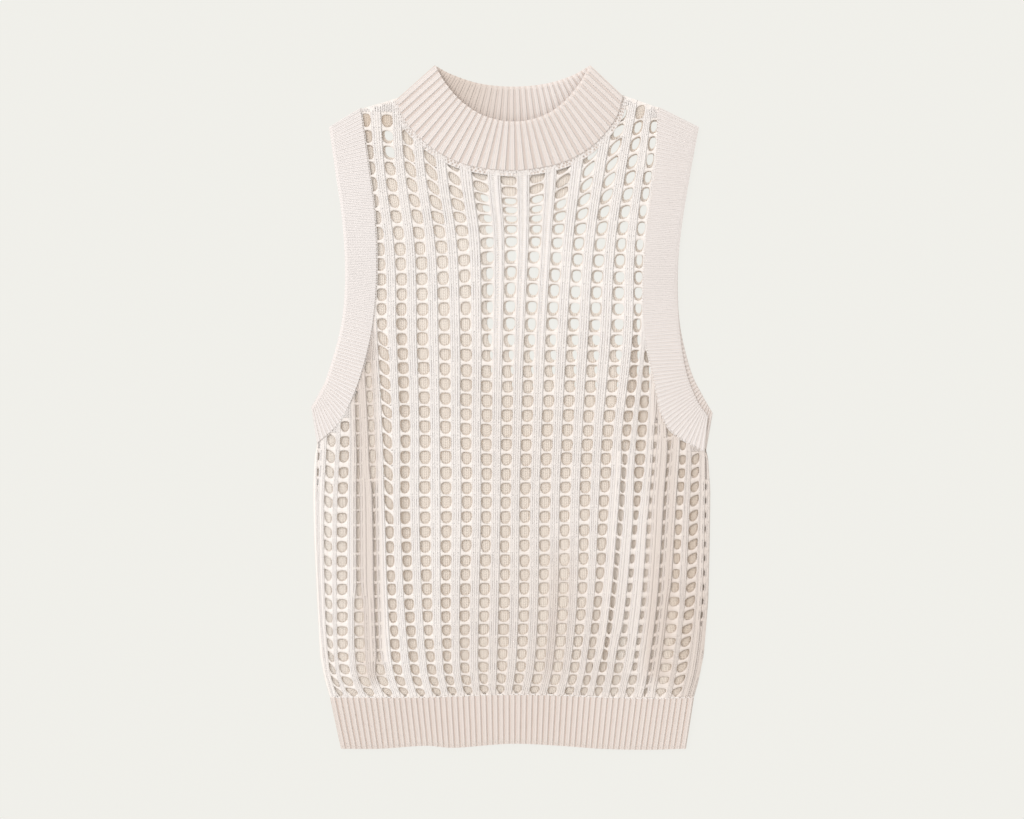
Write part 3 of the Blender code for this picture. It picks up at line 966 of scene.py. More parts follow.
@dataclass(frozen=True)
class HoleShape:
    """Form of a net's holes, in spacings of its lines and rows."""

    half_width: float = 0.275
    half_height: float = 0.415
    sag: float = 0.05                                 # of the rungs
    round_rows: tuple[float, float] = (22.0, 30.0)    # holes turn rounder between these rows
    top_bend: tuple[float, float] = (2.6, 2.3)        # squareness of the upper half, below and above them
    foot_bend: tuple[float, float] = (2.05, 2.2)      # and of the lower half
    top_reach: float = 0.97                           # share of the half height above the middle
    foot_reach: float = 1.10                          # and below it
    pinch: float = 0.75                               # how far the hem draws in the lowest holes' feet
    uneven_width: float = 0.05
    uneven_height: float = 0.035
    uneven_line: float = 0.012
    uneven_row: float = 0.02

    def rim(self, row: np.ndarray, angle: np.ndarray, size: tuple[np.ndarray, np.ndarray],
            wobble: np.ndarray) -> tuple[np.ndarray, np.ndarray]:
        """Points of the holes' rims.

        Args:
            row: The holes' rows.
            angle: Directions from the holes' middles to the points.
            size: The holes' half widths and half heights.
            wobble: The (m, 4) random unevenness of width, height, line and row.

        Returns:
            How far the points lie to the right of and above the middles of their cells.
        """
        cosine, sine = np.cos(angle), np.sin(angle)
        rounder = smoothstep(*self.round_rows, row)
        top, foot = (low + (high - low) * rounder for low, high in (self.top_bend, self.foot_bend))
        power = 2 / np.where(sine > 0, top, foot)
        half_width = size[0] * np.where((row == 0) & (sine < 0), 1 + self.pinch * sine, 1)
        half_height = size[1] * np.where(sine > 0, self.top_reach, self.foot_reach)
        right = half_width * np.sign(cosine) * np.abs(cosine) ** power
        above = half_height * np.sign(sine) * np.abs(sine) ** power
        above -= self.sag * (1 - np.minimum(np.abs(cosine), 1) ** 2)
        return right + self.uneven_line * wobble[:, 2], above + self.uneven_row * wobble[:, 3]


@dataclass
class NetPanel:
    """An open-knit panel: vertical strips of two wales, with sagging rungs between them."""

    name: str
    layer: Layer
    net: NetMap
    drape: Drape
    collar: Track
    left_band: Track
    right_band: Track
    openings: tuple[Opening, ...] = ()
    holes: HoleShape = HoleShape()
    slants: Slants = Slants()
    rows: int = 41
    strip_relief: float = 0.0003     # strips above the panel's face
    rung_drop: float = 0.0003        # rungs below the panel's face
    ladder_drop: float = 0.0002      # groove between a strip's two wales
    ladder: tuple[float, float] = (0.37, 0.44)        # where it deepens, in spacings from a line
    shelf: float = 0.02              # half the width of a strip's steep flank, in spacings
    flank: float = 0.06              # width over which its edge rounds up, in spacings
    margin: float = 0.0030           # a hole's middle lies at least this far inside the outline
    skirt: float = 0.014             # cells farther than this outside it aren't made
    shoulder_yoke: float = 0.0045    # width of the dense knit below the shoulder line
    yoke: tuple[float, float] = (1.0, 0.0)            # height and half width of that below the neck
    linked_share: float = 0.35       # share of its thickness that a linked edge keeps
    bead_sunk: float = 0.00024       # middles of the stitches below the strips' face
    bead_margin: float = 0.0012      # a stitch's middle lies at least this far inside the outline
    bead_tone: float = 0.85          # a stitch's painted shade at its middle, from the hollows' colour (0) to the crest's (1)
    bead_tone_rise: float = 0.0012   # height over which that changes by 1, so lower points are darker
    bead_reach: float = 0.44         # how far stitches lie past the outermost lines, in spacings
    back_dusk: float = 0.38          # how far the back lies in shade where no tint changes it
    rim_tone: float = 0.35           # how far a hole's rim takes the painted shade of the hollows
    ladder_tone: float = 0.3         # and how far the groove does
    rim_round: tuple[float, float] = (0.5, 1.0)       # where an upper rim rounds down
    foot_round: float = 0.25         # share of the thickness by which a hole's lower rim is rounded
    around: int = 3                  # cuts in each side of a cell
    stitches_per_row: int = 6
    seed: int = 11
    edge: Outline = field(init=False)
    open_cells: np.ndarray = field(init=False)

    def __post_init__(self) -> None:
        """Works out the outline, and which cells are open."""
        self.edge = self.outline()
        cells = np.meshgrid(np.arange(LINES[-1] + 1.0), np.arange(float(self.rows)), indexing="ij")
        line, row = (values.ravel() for values in cells)
        x, up = self.net.place(line, row)
        inside = self.edge.nearest(np.stack([x, up], axis=1))[1]
        dense = (up > self.yoke[0]) & (np.abs(x) < self.yoke[1])
        dense |= (self.drape.shoulder_distance(x, up) < self.shoulder_yoke) | (row == self.rows - 1)
        for opening in self.openings:
            if opening.width == 0:
                dense |= opening.holds(line, row)
        if self.layer is Layer.BACK:
            dense |= (line == LINES[0]) | (line == LINES[-1])
        self.open_cells = ((inside > self.margin) & ~dense).reshape(cells[0].shape)

    def outline(self) -> Outline:
        """The panel's outline, tucked in under the strips that it is linked to.

        Returns:
            The outline, from the hem's left end round to the left side.
        """
        bottom = Track(HEM).linked_edge(HEM_POINTS, TUCK)
        right = np.array([(row.right_x, row.up) for row in SIDES[1:-1]])
        left = np.array([(row.left_x, row.up) for row in SIDES[-2:0:-1]])
        right_arm = self.right_band.linked_edge(EDGE_POINTS, TUCK)[::-1]
        neck = self.collar.linked_edge(EDGE_POINTS, TUCK)[::-1]
        left_arm = self.left_band.linked_edge(EDGE_POINTS, TUCK)
        return Outline(np.concatenate([bottom, right, right_arm, neck, left_arm, left]))

    def is_open(self, line: np.ndarray, row: np.ndarray) -> np.ndarray:
        """Whether the cells that points lie in are open.

        Args:
            line: Lines of the points.
            row: Their rows.

        Returns:
            Whether each point's cell is open.
        """
        column = np.rint(line).astype(int)
        step = np.rint(row).astype(int)
        known = (column >= 0) & (column <= LINES[-1]) & (step >= 0) & (step < self.rows)
        return known & self.open_cells[np.clip(column, 0, LINES[-1]), np.clip(step, 0, self.rows - 1)]

    def drawn_in(self, line: np.ndarray, row: np.ndarray, sizes: list[float]) -> np.ndarray:
        """Shares of the usual size that the holes have.

        Args:
            line: The holes' whole lines.
            row: Their rows.
            sizes: The share that each opening gives.

        Returns:
            The shares.
        """
        share = np.ones(len(line))
        for opening, size in zip(self.openings, sizes):
            drawn = share * (1 - (1 - size) * opening.reach(row))
            share = np.where(line == opening.line, drawn, share)
        return share

    def half_width(self, line: np.ndarray, row: np.ndarray) -> np.ndarray:
        """Half widths of the holes of whole lines at heights given in rows."""
        widths = [opening.width for opening in self.openings]
        return self.holes.half_width * self.drawn_in(line, row, widths)

    def half_height(self, line: np.ndarray, row: np.ndarray) -> np.ndarray:
        """Half heights of the holes of whole lines and rows."""
        heights = [opening.height for opening in self.openings]
        return self.holes.half_height * self.drawn_in(line, row, heights)

    def shade(self, x: np.ndarray, up: np.ndarray) -> np.ndarray:
        """How far points of the panel lie in shade; the back is seen through the front's holes.

        Args:
            x: Distance from the garment's middle.
            up: Height up the garment.

        Returns:
            The shade, from 0 to 1.
        """
        if self.layer is Layer.FRONT:
            return self.drape.shade(x, up)
        total = np.full(len(x), self.back_dusk)
        for tint in TINTS:
            total += tint.at(x, up)
        return np.clip(total, 0, 1)

    def leaning(self, line: np.ndarray, row: np.ndarray, across: np.ndarray) -> np.ndarray:
        """How far points of a cell move up with the slant of its rungs.

        Args:
            line: The cells' lines.
            row: Their rows.
            across: How far the points lie to the right of their line.

        Returns:
            The move, in rows.
        """
        slant = self.slants.at(line, row, self.net.middle_line)
        for opening in self.openings:
            slant = np.where(opening.holds(line, row), slant + opening.slant, slant)
        return slant * across * (1 - smoothstep(INSET, CELL, np.abs(across)))

    def grid(self) -> bmesh.types.BMesh:
        """The net's cells as a grid in lines and rows.

        Returns:
            The grid, with a square hole inset in each open cell.
        """
        net = bmesh.new()
        lines = LINES[-1] + 1
        bmesh.ops.create_grid(net, x_segments=lines, y_segments=self.rows, size=0.5)
        bmesh.ops.scale(net, verts=net.verts, vec=(lines, self.rows, 1))
        bmesh.ops.translate(net, verts=net.verts, vec=((lines - 1) / 2, (self.rows - 1) / 2, 0))
        centres = np.array([face.calc_center_median() for face in net.faces])
        x, up = self.net.place(centres[:, 0], centres[:, 1])
        distance = self.edge.nearest(np.stack([x, up], axis=1))[1]
        faces = list(net.faces)
        outside = [face for face, inside in zip(faces, distance) if inside < -self.skirt]
        opens = self.is_open(centres[:, 0], centres[:, 1])
        holed = [face for face, is_open in zip(faces, opens) if is_open]
        bmesh.ops.inset_individual(net, faces=holed, thickness=CELL - INSET, use_even_offset=True)
        bmesh.ops.delete(net, geom=outside + holed, context="FACES")
        return net

    def spokes(self, net: bmesh.types.BMesh, height: float) -> list[bmesh.types.BMEdge]:
        """Edges that run from an open cell's border towards its hole.

        Args:
            net: The grid.
            height: Height at which both ends of an edge lie.

        Returns:
            The edges.
        """
        found = []
        for edge in net.edges:
            first, second = edge.verts
            if abs(first.co.z - height) > NEAR or abs(second.co.z - height) > NEAR:
                continue
            middle = (first.co + second.co) / 2
            line, row = round(middle.x), round(middle.y)
            radii = sorted(max(abs(vert.co.x - line), abs(vert.co.y - row)) for vert in edge.verts)
            if radii[0] < INSET + NEAR and radii[1] > CELL - NEAR:
                found.append(edge)
        return found

    def trim(self, net: bmesh.types.BMesh) -> None:
        """Deletes the faces that lie wholly outside the outline.

        Args:
            net: The grid, which is changed.
        """
        u, v, _ = np.array([vert.co for vert in net.verts]).T
        line, row = np.rint(u), np.rint(v)
        place = self.net.place(u, v + self.leaning(line, row, u - line))
        inside = self.edge.nearest(np.stack(place, axis=1))[1]
        net.verts.index_update()
        outside = [face for face in net.faces if all(inside[vert.index] < 0 for vert in face.verts)]
        bmesh.ops.delete(net, geom=outside, context="FACES")

    def sheet(self) -> tuple[bpy.types.Mesh, np.ndarray]:
        """The whole net as a closed shell in lines and rows, 1 high, ready to be laid on the plane.

        Returns:
            The mesh and its points.
        """
        net = self.grid()
        spokes = set(self.spokes(net, 0.0))
        sides = [edge for edge in net.edges if edge not in spokes]
        bmesh.ops.subdivide_edges(net, edges=sides, cuts=self.around, use_grid_fill=True)
        self.trim(net)
        thicken(net)
        middles = np.array([(edge.verts[0].co + edge.verts[1].co) / 2 for edge in net.edges])
        opens = self.is_open(middles[:, 0], middles[:, 1])
        in_open = {edge for edge, is_open in zip(net.edges, opens) if is_open}
        upper = [edge for edge in self.spokes(net, 1.0) if edge in in_open]
        bmesh.ops.subdivide_edges(net, edges=upper, cuts=2)
        bmesh.ops.recalc_face_normals(net, faces=net.faces)
        return to_mesh(self.name, net)

    def crest(self, x: np.ndarray, up: np.ndarray, inside: np.ndarray,
              relief: np.ndarray) -> tuple[np.ndarray, np.ndarray]:
        """Heights of the panel's faces, thinned where it is linked in.

        Args:
            x: Distance from the garment's middle.
            up: Height up the garment.
            inside: Distance inside the outline.
            relief: Relief of the outer face.

        Returns:
            The heights of the inner face, and of the outer face with its relief.
        """
        faces = self.drape.front if self.layer is Layer.FRONT else self.drape.back
        under, over = faces(x, up)
        distance = np.minimum(self.drape.side_distance(x, up), self.drape.shoulder_distance(x, up))
        linked = self.linked_share + (1 - self.linked_share) * smoothstep(0.0, TUCK + 0.001, inside)
        pressed = under + (over + relief - under) * linked
        crest = np.where(distance < EDGE_FREE, over + relief, pressed)
        return under, np.maximum(crest, under + THIN_EDGE)

    def cells(self, u: np.ndarray, v: np.ndarray) -> tuple[np.ndarray, ...]:
        """Gives the holes their form within their cells.

        Args:
            u: Lines of the sheet's points.
            v: Their rows.

        Returns:
            How far the points lie to the right of and above their cells' middles, the half widths of
            the holes, and how far the points belong to a rim, from 0 at a cell's border to 1.
        """
        line, row = np.rint(u), np.rint(v)
        right, above = u - line, v - row
        radius = np.maximum(np.abs(right), np.abs(above))
        is_open = self.is_open(u, v) & (radius < CELL - BORDER)
        weight = np.where(is_open, 1 - np.clip((radius - INSET) / (CELL - INSET), 0, 1), 0)
        safe = np.maximum(radius, 1e-6)
        angle = np.arctan2(above / safe, right / safe)
        jitter = np.random.default_rng(self.seed).normal(0, 1, (JITTER_SIZE, JITTER_SIZE, 4))
        wobble = jitter[line.astype(int) % JITTER_SIZE, row.astype(int) % JITTER_SIZE]
        half_width = self.half_width(line, row) * (1 + self.holes.uneven_width * wobble[:, 0])
        half_height = self.half_height(line, row) * (1 + self.holes.uneven_height * wobble[:, 1])
        rim_right, rim_above = self.holes.rim(row, angle, (half_width, half_height), wobble)
        off_rim = CELL * (1 - weight) / safe
        right = np.where(weight > 0, rim_right * weight + right * off_rim, right)
        above = np.where(weight > 0, rim_above * weight + above * off_rim, above)
        return right, above + self.leaning(line, row, right), half_width, weight

    def build(self, finish: bpy.types.Material) -> bpy.types.Object:
        """Lays the net on the plane with its holes, strips and rungs.

        Args:
            finish: The material.

        Returns:
            The piece.
        """
        mesh, points = self.sheet()
        u, v, level = points.T
        right, above, half_width, weight = self.cells(u, v)
        line, row = np.rint(u) + right, np.rint(v) + above
        spot = np.stack(self.net.place(line, row), axis=1)
        foot, inside = self.edge.nearest(spot)
        move = np.where(inside[:, None] < 0, foot - spot, 0)
        x, up = (spot + move).T
        off_hole = np.abs(right) - half_width
        strip = smoothstep(0.0, self.flank, off_hole) * smoothstep(-self.shelf, self.shelf, off_hole)
        ladder = smoothstep(*self.ladder, np.abs(right))
        relief = -self.rung_drop + (self.strip_relief + self.rung_drop) * strip - self.ladder_drop * ladder
        under, crest = self.crest(x, up, inside, relief)
        rounded = np.where(weight > 0, smoothstep(*self.rim_round, weight), 0)
        upper = crest + ((under + crest) / 2 - crest) * rounded
        lower = under + (crest - under) * np.where(weight > 1 - NEAR, self.foot_round, 0)
        set_points(mesh, x, up, np.where(level > 0.5, upper, lower))
        set_uv(mesh, *self.net.moved(line, row, move))
        # Painted shade: rims and the groove between a strip's wales take the hollows' darker colour.
        tone = (1 - self.rim_tone * rounded) * (1 - self.ladder_tone * ladder)
        set_mask(mesh, "depth", np.where(level > 0.5, tone, 0))
        set_mask(mesh, "shade", self.shade(x, up))
        weld(mesh)
        return new_object(self.name, mesh, finish, CREASE)

    def strip_place(self, column: np.ndarray, share: np.ndarray, row: np.ndarray) -> np.ndarray:
        """Lines of points on the strips between the holes.

        Args:
            column: The strip's number; strip 1 lies between lines 0 and 1.
            share: From -1 at the hole on its left to 1 at the hole on its right.
            row: Height in rows.

        Returns:
            The lines, with parts.
        """
        left = np.maximum(column - 1 + self.half_width(column - 1, row), -CELL)
        right = np.minimum(column - self.half_width(column, row), LINES[-1] + CELL)
        return (left + right) / 2 + share * (right - left) / 2

    def wales(self, name: str, finish: bpy.types.Material, first: int, last: int) -> bpy.types.Object:
        """The V stitches of the strips from first to last, as beads of yarn on the panel's outer face.

        Args:
            name: Name of the piece.
            finish: Its material.
            first: First strip.
            last: Last strip.

        Returns:
            The piece.
        """
        wale = 0.49                      # from a strip's middle
        parted_strip, reach = 12, 1.5    # in the upper middle, wales lie farther apart and are narrower
        parted_rows = (22, 26)           # rows between which this sets in
        parted_by, narrowed = 0.17, 0.38
        bead = Bead(width=0.60, spread=0.24, lean=0.16, height=0.0007)
        stitches = self.rows * self.stitches_per_row
        mesh, points = bead.chart(name, (-wale, wale), last - first + 1, CHART_PITCH, stitches)
        middle = np.repeat(bead_means(points[:, 0]), BEAD_POINTS)
        column = np.rint(middle / CHART_PITCH)
        share = points[:, 0] - CHART_PITCH * column
        column += first
        row = points[:, 1] / self.stitches_per_row - CELL
        spaced = smoothstep(*parted_rows, row) * (np.abs(column - parted_strip) < reach)
        share += np.sign(share) * spaced * (parted_by - narrowed * (np.abs(share) - wale))
        line = self.strip_place(column, share, row)
        every = np.ones(len(points) // BEAD_POINTS, bool)
        return self.lay_beads(mesh, points, (line, row), every, finish)

    def fill(self, name: str, finish: bpy.types.Material) -> bpy.types.Object:
        """The V stitches of the cells that aren't open, along the linked edges.

        Args:
            name: Name of the piece.
            finish: Its material.

        Returns:
            The piece.
        """
        wales = (-0.66, 0.0, 0.66)
        least_width = 0.05               # half width of the narrowest cell that holds three wales
        bead = Bead(width=0.35, spread=0.155, lean=0.14, height=0.0010)
        stitches = self.rows * self.stitches_per_row
        mesh, points = bead.chart(name, wales, LINES[-1] + 1, CHART_PITCH, stitches)
        column = np.rint(np.repeat(bead_means(points[:, 0]), BEAD_POINTS) / CHART_PITCH)
        row = points[:, 1] / self.stitches_per_row - CELL
        line = column + (points[:, 0] - CHART_PITCH * column) * self.half_width(column, row)
        middle = bead_means(column), bead_means(row)
        closed = ~self.is_open(*middle) & (self.half_width(*middle) > least_width)
        return self.lay_beads(mesh, points, (line, row), closed, finish)

    def lay_beads(self, mesh: bpy.types.Mesh, points: np.ndarray, place: tuple[np.ndarray, np.ndarray],
                  keep: np.ndarray, finish: bpy.types.Material) -> bpy.types.Object:
        """Lays a chart's beads on the panel's outer face.

        Args:
            mesh: The chart.
            points: Its points.
            place: Their lines and their rows.
            keep: Which beads may stay; those outside the outline go as well.
            finish: The material.

        Returns:
            The piece.
        """
        x, up = self.net.place(*place)
        centre = np.stack([bead_means(x), bead_means(up)], axis=1)
        inside = self.edge.nearest(centre)[1]
        middle = LINES[-1] / 2
        on_net = np.abs(bead_means(place[0]) - middle) < middle + self.bead_reach
        keep = keep & (inside > self.bead_margin) & on_net
        mesh = Bead.kept(mesh, keep)
        stay = np.repeat(keep, BEAD_POINTS)
        x, up, height = x[stay], up[stay], points[stay, 2]
        inside = np.repeat(inside[keep], BEAD_POINTS)
        crest = self.crest(x, up, inside, np.full(len(x), self.strip_relief))[1]
        set_points(mesh, x, up, crest + height - self.bead_sunk)
        local = bead_local(points[stay])
        set_uv(mesh, local[:, 0], local[:, 1])
        # Painted shade: each stitch turns to the hollows' colour towards its lower points.
        set_mask(mesh, "depth", np.clip(self.bead_tone + height / self.bead_tone_rise, 0, 1))
        set_mask(mesh, "shade", self.drape.shade(x, up))
        return new_object(mesh.name, mesh, finish)

    def cloth_area(self) -> float:
        """Area of the panel's cloth without its holes.

        Returns:
            The area.
        """
        line, row = (index.astype(float) for index in np.nonzero(self.open_cells))
        width = self.net.place(line + CELL, row)[0] - self.net.place(line - CELL, row)[0]
        height = self.net.place(line, row + CELL)[1] - self.net.place(line, row - CELL)[1]
        rounded = 3.4                    # between pi for an oval and 4 for a rectangle
        holes = rounded * self.half_width(line, row) * width * self.half_height(line, row) * height
        return float(self.edge.area() - holes.sum())


@dataclass
class RibStrip:
    """A knitted strip between a free and a linked edge, with ribs that run across it."""

    name: str
    layer: Layer
    track: Track
    ribs: int
    relief: float = 0.0009
    rib_top: float = 0.45            # share of a rib's half width that is level
    rib_sunk: float = 0.4            # share of the relief that lies below the strip's face
    samples: int = 8                 # points across each rib
    across: int = 12                 # steps from the free to the linked edge
    crowding: float = 0.06           # how far those steps crowd towards both edges
    edge_round: float = 0.05         # share of the width over which the free edge is rounded
    lift: float = 0.0                # rise of the free edge in its middle
    base: float = RIB_WALL + LAYER_GAP
    linked_rise: float = 0.0         # rise of the linked edge, up to the panel
    bulge: float = 0.0004            # rise of the middle between both edges
    bead_height: float = 0.0011
    fade: tuple[float, float, float] = (1.0, 1.0, 1.0)    # relief at the start, middle and end
    dusk: float = 0.0                # how far the strip's start lies in shade
    dusk_reach: tuple[float, float] = (0.12, 0.75)        # shares of the way over which that fades
    bead_tone: float = 0.75          # a stitch's painted shade at its middle, from the hollows' colour (0) to the crest's (1)
    tone: float = 0.0                # painted shade over the whole strip

    def place(self, along: np.ndarray, across: np.ndarray) -> tuple[np.ndarray, np.ndarray]:
        """Places of points, given by shares of the way along and across the strip."""
        outer_x, outer_up, inner_x, inner_up = self.track.edges(self.track.positions(along)).T
        return outer_x + (inner_x - outer_x) * across, outer_up + (inner_up - outer_up) * across

    def heights(self, along: np.ndarray, across: np.ndarray) -> tuple[np.ndarray, np.ndarray]:
        """Heights of the strip's faces without its ribs.

        Args:
            along: Share of the way along the strip.
            across: Share of the way from the free to the linked edge.

        Returns:
            The heights of the lower and of the upper face.
        """
        if self.layer is Layer.BACK:
            lower = np.zeros_like(along)
            return lower, lower + RIB_WALL
        lower = self.base + self.lift * (1 - across) * (1 - (2 * along - 1) ** 4)
        lower = lower + self.linked_rise * across * (1 - (2 * along - 1) ** 6)
        return lower, lower + RIB_WALL + self.bulge * (1 - (2 * across - 1) ** 2)

    def strength(self, along: np.ndarray) -> np.ndarray:
        """How strong the relief is at shares of the way along the strip."""
        return np.interp(along, (0, 0.5, 1), self.fade)

    def shade(self, along: np.ndarray) -> np.ndarray:
        """How far points of the strip lie in shade."""
        return self.tone + self.dusk * (1 - smoothstep(*self.dusk_reach, along))

    def build(self, finish: bpy.types.Material) -> bpy.types.Object:
        """Lays the strip on its track with its ribs raised.

        Args:
            finish: The material.

        Returns:
            The piece.
        """
        strip = bmesh.new()
        steps = self.ribs * self.samples
        bmesh.ops.create_grid(strip, x_segments=steps, y_segments=self.across, size=0.5)
        bmesh.ops.translate(strip, verts=strip.verts, vec=(0.5, 0.5, 0))
        thicken(strip)
        bmesh.ops.recalc_face_normals(strip, faces=strip.faces)
        mesh, points = to_mesh(self.name, strip)
        along, share, level = points.T
        across = share - self.crowding * np.sin(2 * pi * share)
        x, up = self.place(along, across)
        lower, upper = self.heights(along, across)
        from_crest = np.abs((along * self.ribs) % 1.0 - 0.5) * 2
        flank = np.clip((from_crest - self.rib_top) / (1 - self.rib_top), 0, 1)
        crest = 0.5 + 0.5 * np.cos(pi * flank)
        strength = self.strength(along)
        upper = upper + self.relief * (crest - self.rib_sunk) * strength
        middle = (upper + lower) / 2
        face = np.where(level > 0.5, upper, lower)
        z = middle + (face - middle) * quarter_round(across, self.edge_round)
        if self.layer is Layer.BACK:
            z = np.where(level > 0.5, z, 0.0)
        set_points(mesh, x, up, z)
        set_uv(mesh, along * self.ribs, across * self.track.width() / STITCH)
        # Painted shade: the ribs' grooves take the hollows' darker colour.
        set_mask(mesh, "depth", np.where(level > 0.5, 1 - (1 - crest) * np.minimum(strength, 1), 0))
        set_mask(mesh, "shade", self.shade(along))
        return new_object(self.name, mesh, finish, CREASE)

    def wales(self, name: str, finish: bpy.types.Material) -> bpy.types.Object:
        """The V stitches of the ribs, as beads of yarn on the strip's outer face.

        Args:
            name: Name of the piece.
            finish: Its material.

        Returns:
            The piece.
        """
        least_round = 0.3**0.5           # of the free edge, so that its stitches stay in view
        edge_drop = 0.001                # of the stitches round the free edge
        least_height = 0.4               # share of their height that they keep where the ribs fade
        raised = 0.3                     # share of the relief by which they are raised
        bead = Bead(width=0.30, spread=0.22, lean=0.08, height=self.bead_height)
        rows = round(self.track.width() / STITCH)
        mesh, points = bead.chart(name, (0.5,), self.ribs, 1.0, rows)
        along, across = points[:, 0] / self.ribs, points[:, 1] / rows
        keep = bead_means(across) > 0.5 / rows
        mesh = Bead.kept(mesh, keep)
        stay = np.repeat(keep, BEAD_POINTS)
        points, along, across = points[stay], np.clip(along[stay], 0, 1), across[stay]
        x, up = self.place(along, across)
        upper = self.heights(along, np.clip(across, 0, 1))[1]
        rounding = np.maximum(quarter_round(across, self.edge_round), least_round)
        strength = self.strength(along)
        height = points[:, 2] * (least_height + (1 - least_height) * np.minimum(strength, 1))
        z = upper - edge_drop * (1 - rounding) + height + self.relief * raised * strength
        set_points(mesh, x, up, z)
        local = bead_local(points)
        set_uv(mesh, local[:, 0], local[:, 1])
        # Painted shade: each stitch darkens towards its lower points.
        set_mask(mesh, "depth", np.clip(self.bead_tone + points[:, 2] / self.bead_height, 0, 1))
        set_mask(mesh, "shade", self.shade(along))
        return new_object(name, mesh, finish)


@dataclass
class LinkedSeam:
    """A narrow strip of close loops where a ribbed strip is linked on to a panel, with small gaps that are
    sunk and darkened with painted shade.
    """

    name: str
    track: Track
    drape: Drape
    rows: tuple[float, ...]          # of gaps: offsets from the linked edge, away from the strip
    reach: tuple[float, float]       # edges of the seam, measured the same way
    rise: float                      # of its face over the panel's
    pitch: float = 0.0034            # distance between gaps
    gap: float = 0.00090             # radius of a gap
    depth: float = 0.0014
    loop_height: float = 0.0001
    loop_width: float = 0.002
    edge_round: float = 0.0008       # width over which both edges round down
    edge_drop: float = 0.0012        # by this height
    uneven: float = 0.12             # of the gaps' places, in pitches
    uneven_row: float = 0.001        # of their rows' offsets, for each pitch of that
    gap_tone: float = 1.3            # how soon the colour turns to the hollows' painted shade in a gap
    edge_points: int = 200           # points at which the linked edge is measured
    step: float = 0.0004             # size of the mesh's faces
    seed: int = 5

    def dip(self, along: np.ndarray, offset: np.ndarray) -> np.ndarray:
        """How deep points lie in the seam's gaps.

        Args:
            along: Their distance along the seam.
            offset: Their distance from the linked edge.

        Returns:
            From 0 on the face to 1 in the middle of a gap.
        """
        noise = np.random.default_rng(self.seed).normal(0, self.uneven, (len(self.rows), SEAM_JITTERS))
        total = np.zeros(len(along))
        for index, row in enumerate(self.rows):
            gaps = along / self.pitch + 0.5 * index
            nearest = np.rint(gaps)
            jitter = noise[index][nearest.astype(int) % SEAM_JITTERS]
            beside = (gaps - nearest - jitter) * self.pitch
            away = np.hypot(beside, offset - row - jitter * self.uneven_row)
            total = np.maximum(total, np.exp(-((away / self.gap) ** 2)))
        return total

    def build(self, finish: bpy.types.Material) -> bpy.types.Object:
        """Lays the loops along the linked edge.

        Args:
            finish: The material.

        Returns:
            The piece.
        """
        low, high = self.reach
        linked = self.track.linked_edge(self.edge_points, 0.0)
        length = np.linalg.norm(np.diff(linked, axis=0), axis=1).sum()
        columns, steps = round(length / self.step), round((high - low) / self.step)
        seam = bmesh.new()
        bmesh.ops.create_grid(seam, x_segments=columns, y_segments=steps, size=0.5)
        bmesh.ops.translate(seam, verts=seam.verts, vec=(0.5, 0.5, 0))
        mesh, points = to_mesh(self.name, seam)
        share, offset = points[:, 0], low + points[:, 1] * (high - low)
        edge = self.track.edges(self.track.positions(share))
        away = edge[:, 2:] - edge[:, :2]
        away /= np.linalg.norm(away, axis=1)[:, None]
        x, up = (edge[:, 2:] + away * offset[:, None]).T
        along = share * length
        dip = self.dip(along, offset)
        from_edge = np.minimum(points[:, 1], 1 - points[:, 1]) * (high - low)
        sunk = 1 - quarter_round(from_edge, self.edge_round)
        loops = np.cos(2 * pi * offset / self.loop_width) * np.cos(2 * pi * along / self.pitch)
        face = self.drape.front(x, up)[1] + self.rise + self.loop_height * loops
        set_points(mesh, x, up, face - self.depth * dip - self.edge_drop * sunk)
        set_uv(mesh, along / STITCH, offset / STITCH)
        # Painted shade: the gaps turn to the hollows' colour and to the full shade colour.
        set_mask(mesh, "depth", np.clip(1 - self.gap_tone * dip, 0, 1))
        set_mask(mesh, "shade", dip)
        return new_object(self.name, mesh, finish)


class Nodes:
    """Short calls for building a node tree."""

    def __init__(self, tree: bpy.types.NodeTree) -> None:
        """Holds the tree that the calls build in."""
        self.tree = tree

    def add(self, kind: str, **settings: object) -> bpy.types.Node:
        """Adds a node.

        Args:
            kind: Its type.
            **settings: Its properties.

        Returns:
            The node.
        """
        node = self.tree.nodes.new(kind)
        for name, value in settings.items():
            setattr(node, name, value)
        return node

    def link(self, source: bpy.types.NodeSocket, target: bpy.types.NodeSocket) -> None:
        """Links two sockets."""
        self.tree.links.new(source, target)

    def math(self, operation: str, *values: object) -> bpy.types.NodeSocket:
        """Adds a math node.

        Args:
            operation: What it does.
            *values: Sockets or numbers that it works on.

        Returns:
            Its output.
        """
        node = self.add("ShaderNodeMath", operation=operation)
        for index, value in enumerate(values):
            if isinstance(value, (int, float)):
                node.inputs[index].default_value = value
            else:
                self.link(value, node.inputs[index])
        return node.outputs[0]

    def mix(self, share: bpy.types.NodeSocket, first: object, second: object) -> bpy.types.NodeSocket:
        """Adds a mix of two colours.

        Args:
            share: How far the second colour counts.
            first: A colour or a socket.
            second: The other.

        Returns:
            The mixed colour.
        """
        node = self.add("ShaderNodeMix", data_type="RGBA")
        self.link(share, node.inputs[0])
        for index, value in ((6, first), (7, second)):
            if isinstance(value, tuple):
                node.inputs[index].default_value = (*value, 1)
            else:
                self.link(value, node.inputs[index])
        return node.outputs[2]

    def noise(self, scale: float, detail: float) -> bpy.types.NodeSocket:
        """Adds soft noise that is fixed to the piece.

        Args:
            scale: Its fineness.
            detail: Its number of finer layers.

        Returns:
            The noise.
        """
        place = self.add("ShaderNodeTexCoord")
        node = self.add("ShaderNodeTexNoise")
        node.inputs["Scale"].default_value = scale
        node.inputs["Detail"].default_value = detail
        self.link(place.outputs["Object"], node.inputs["Vector"])
        return node.outputs["Fac"]


class Relief(Enum):
    """Patterns of fine relief."""

    STITCHES = "knit_stitches"
    TWIST = "yarn_twist"


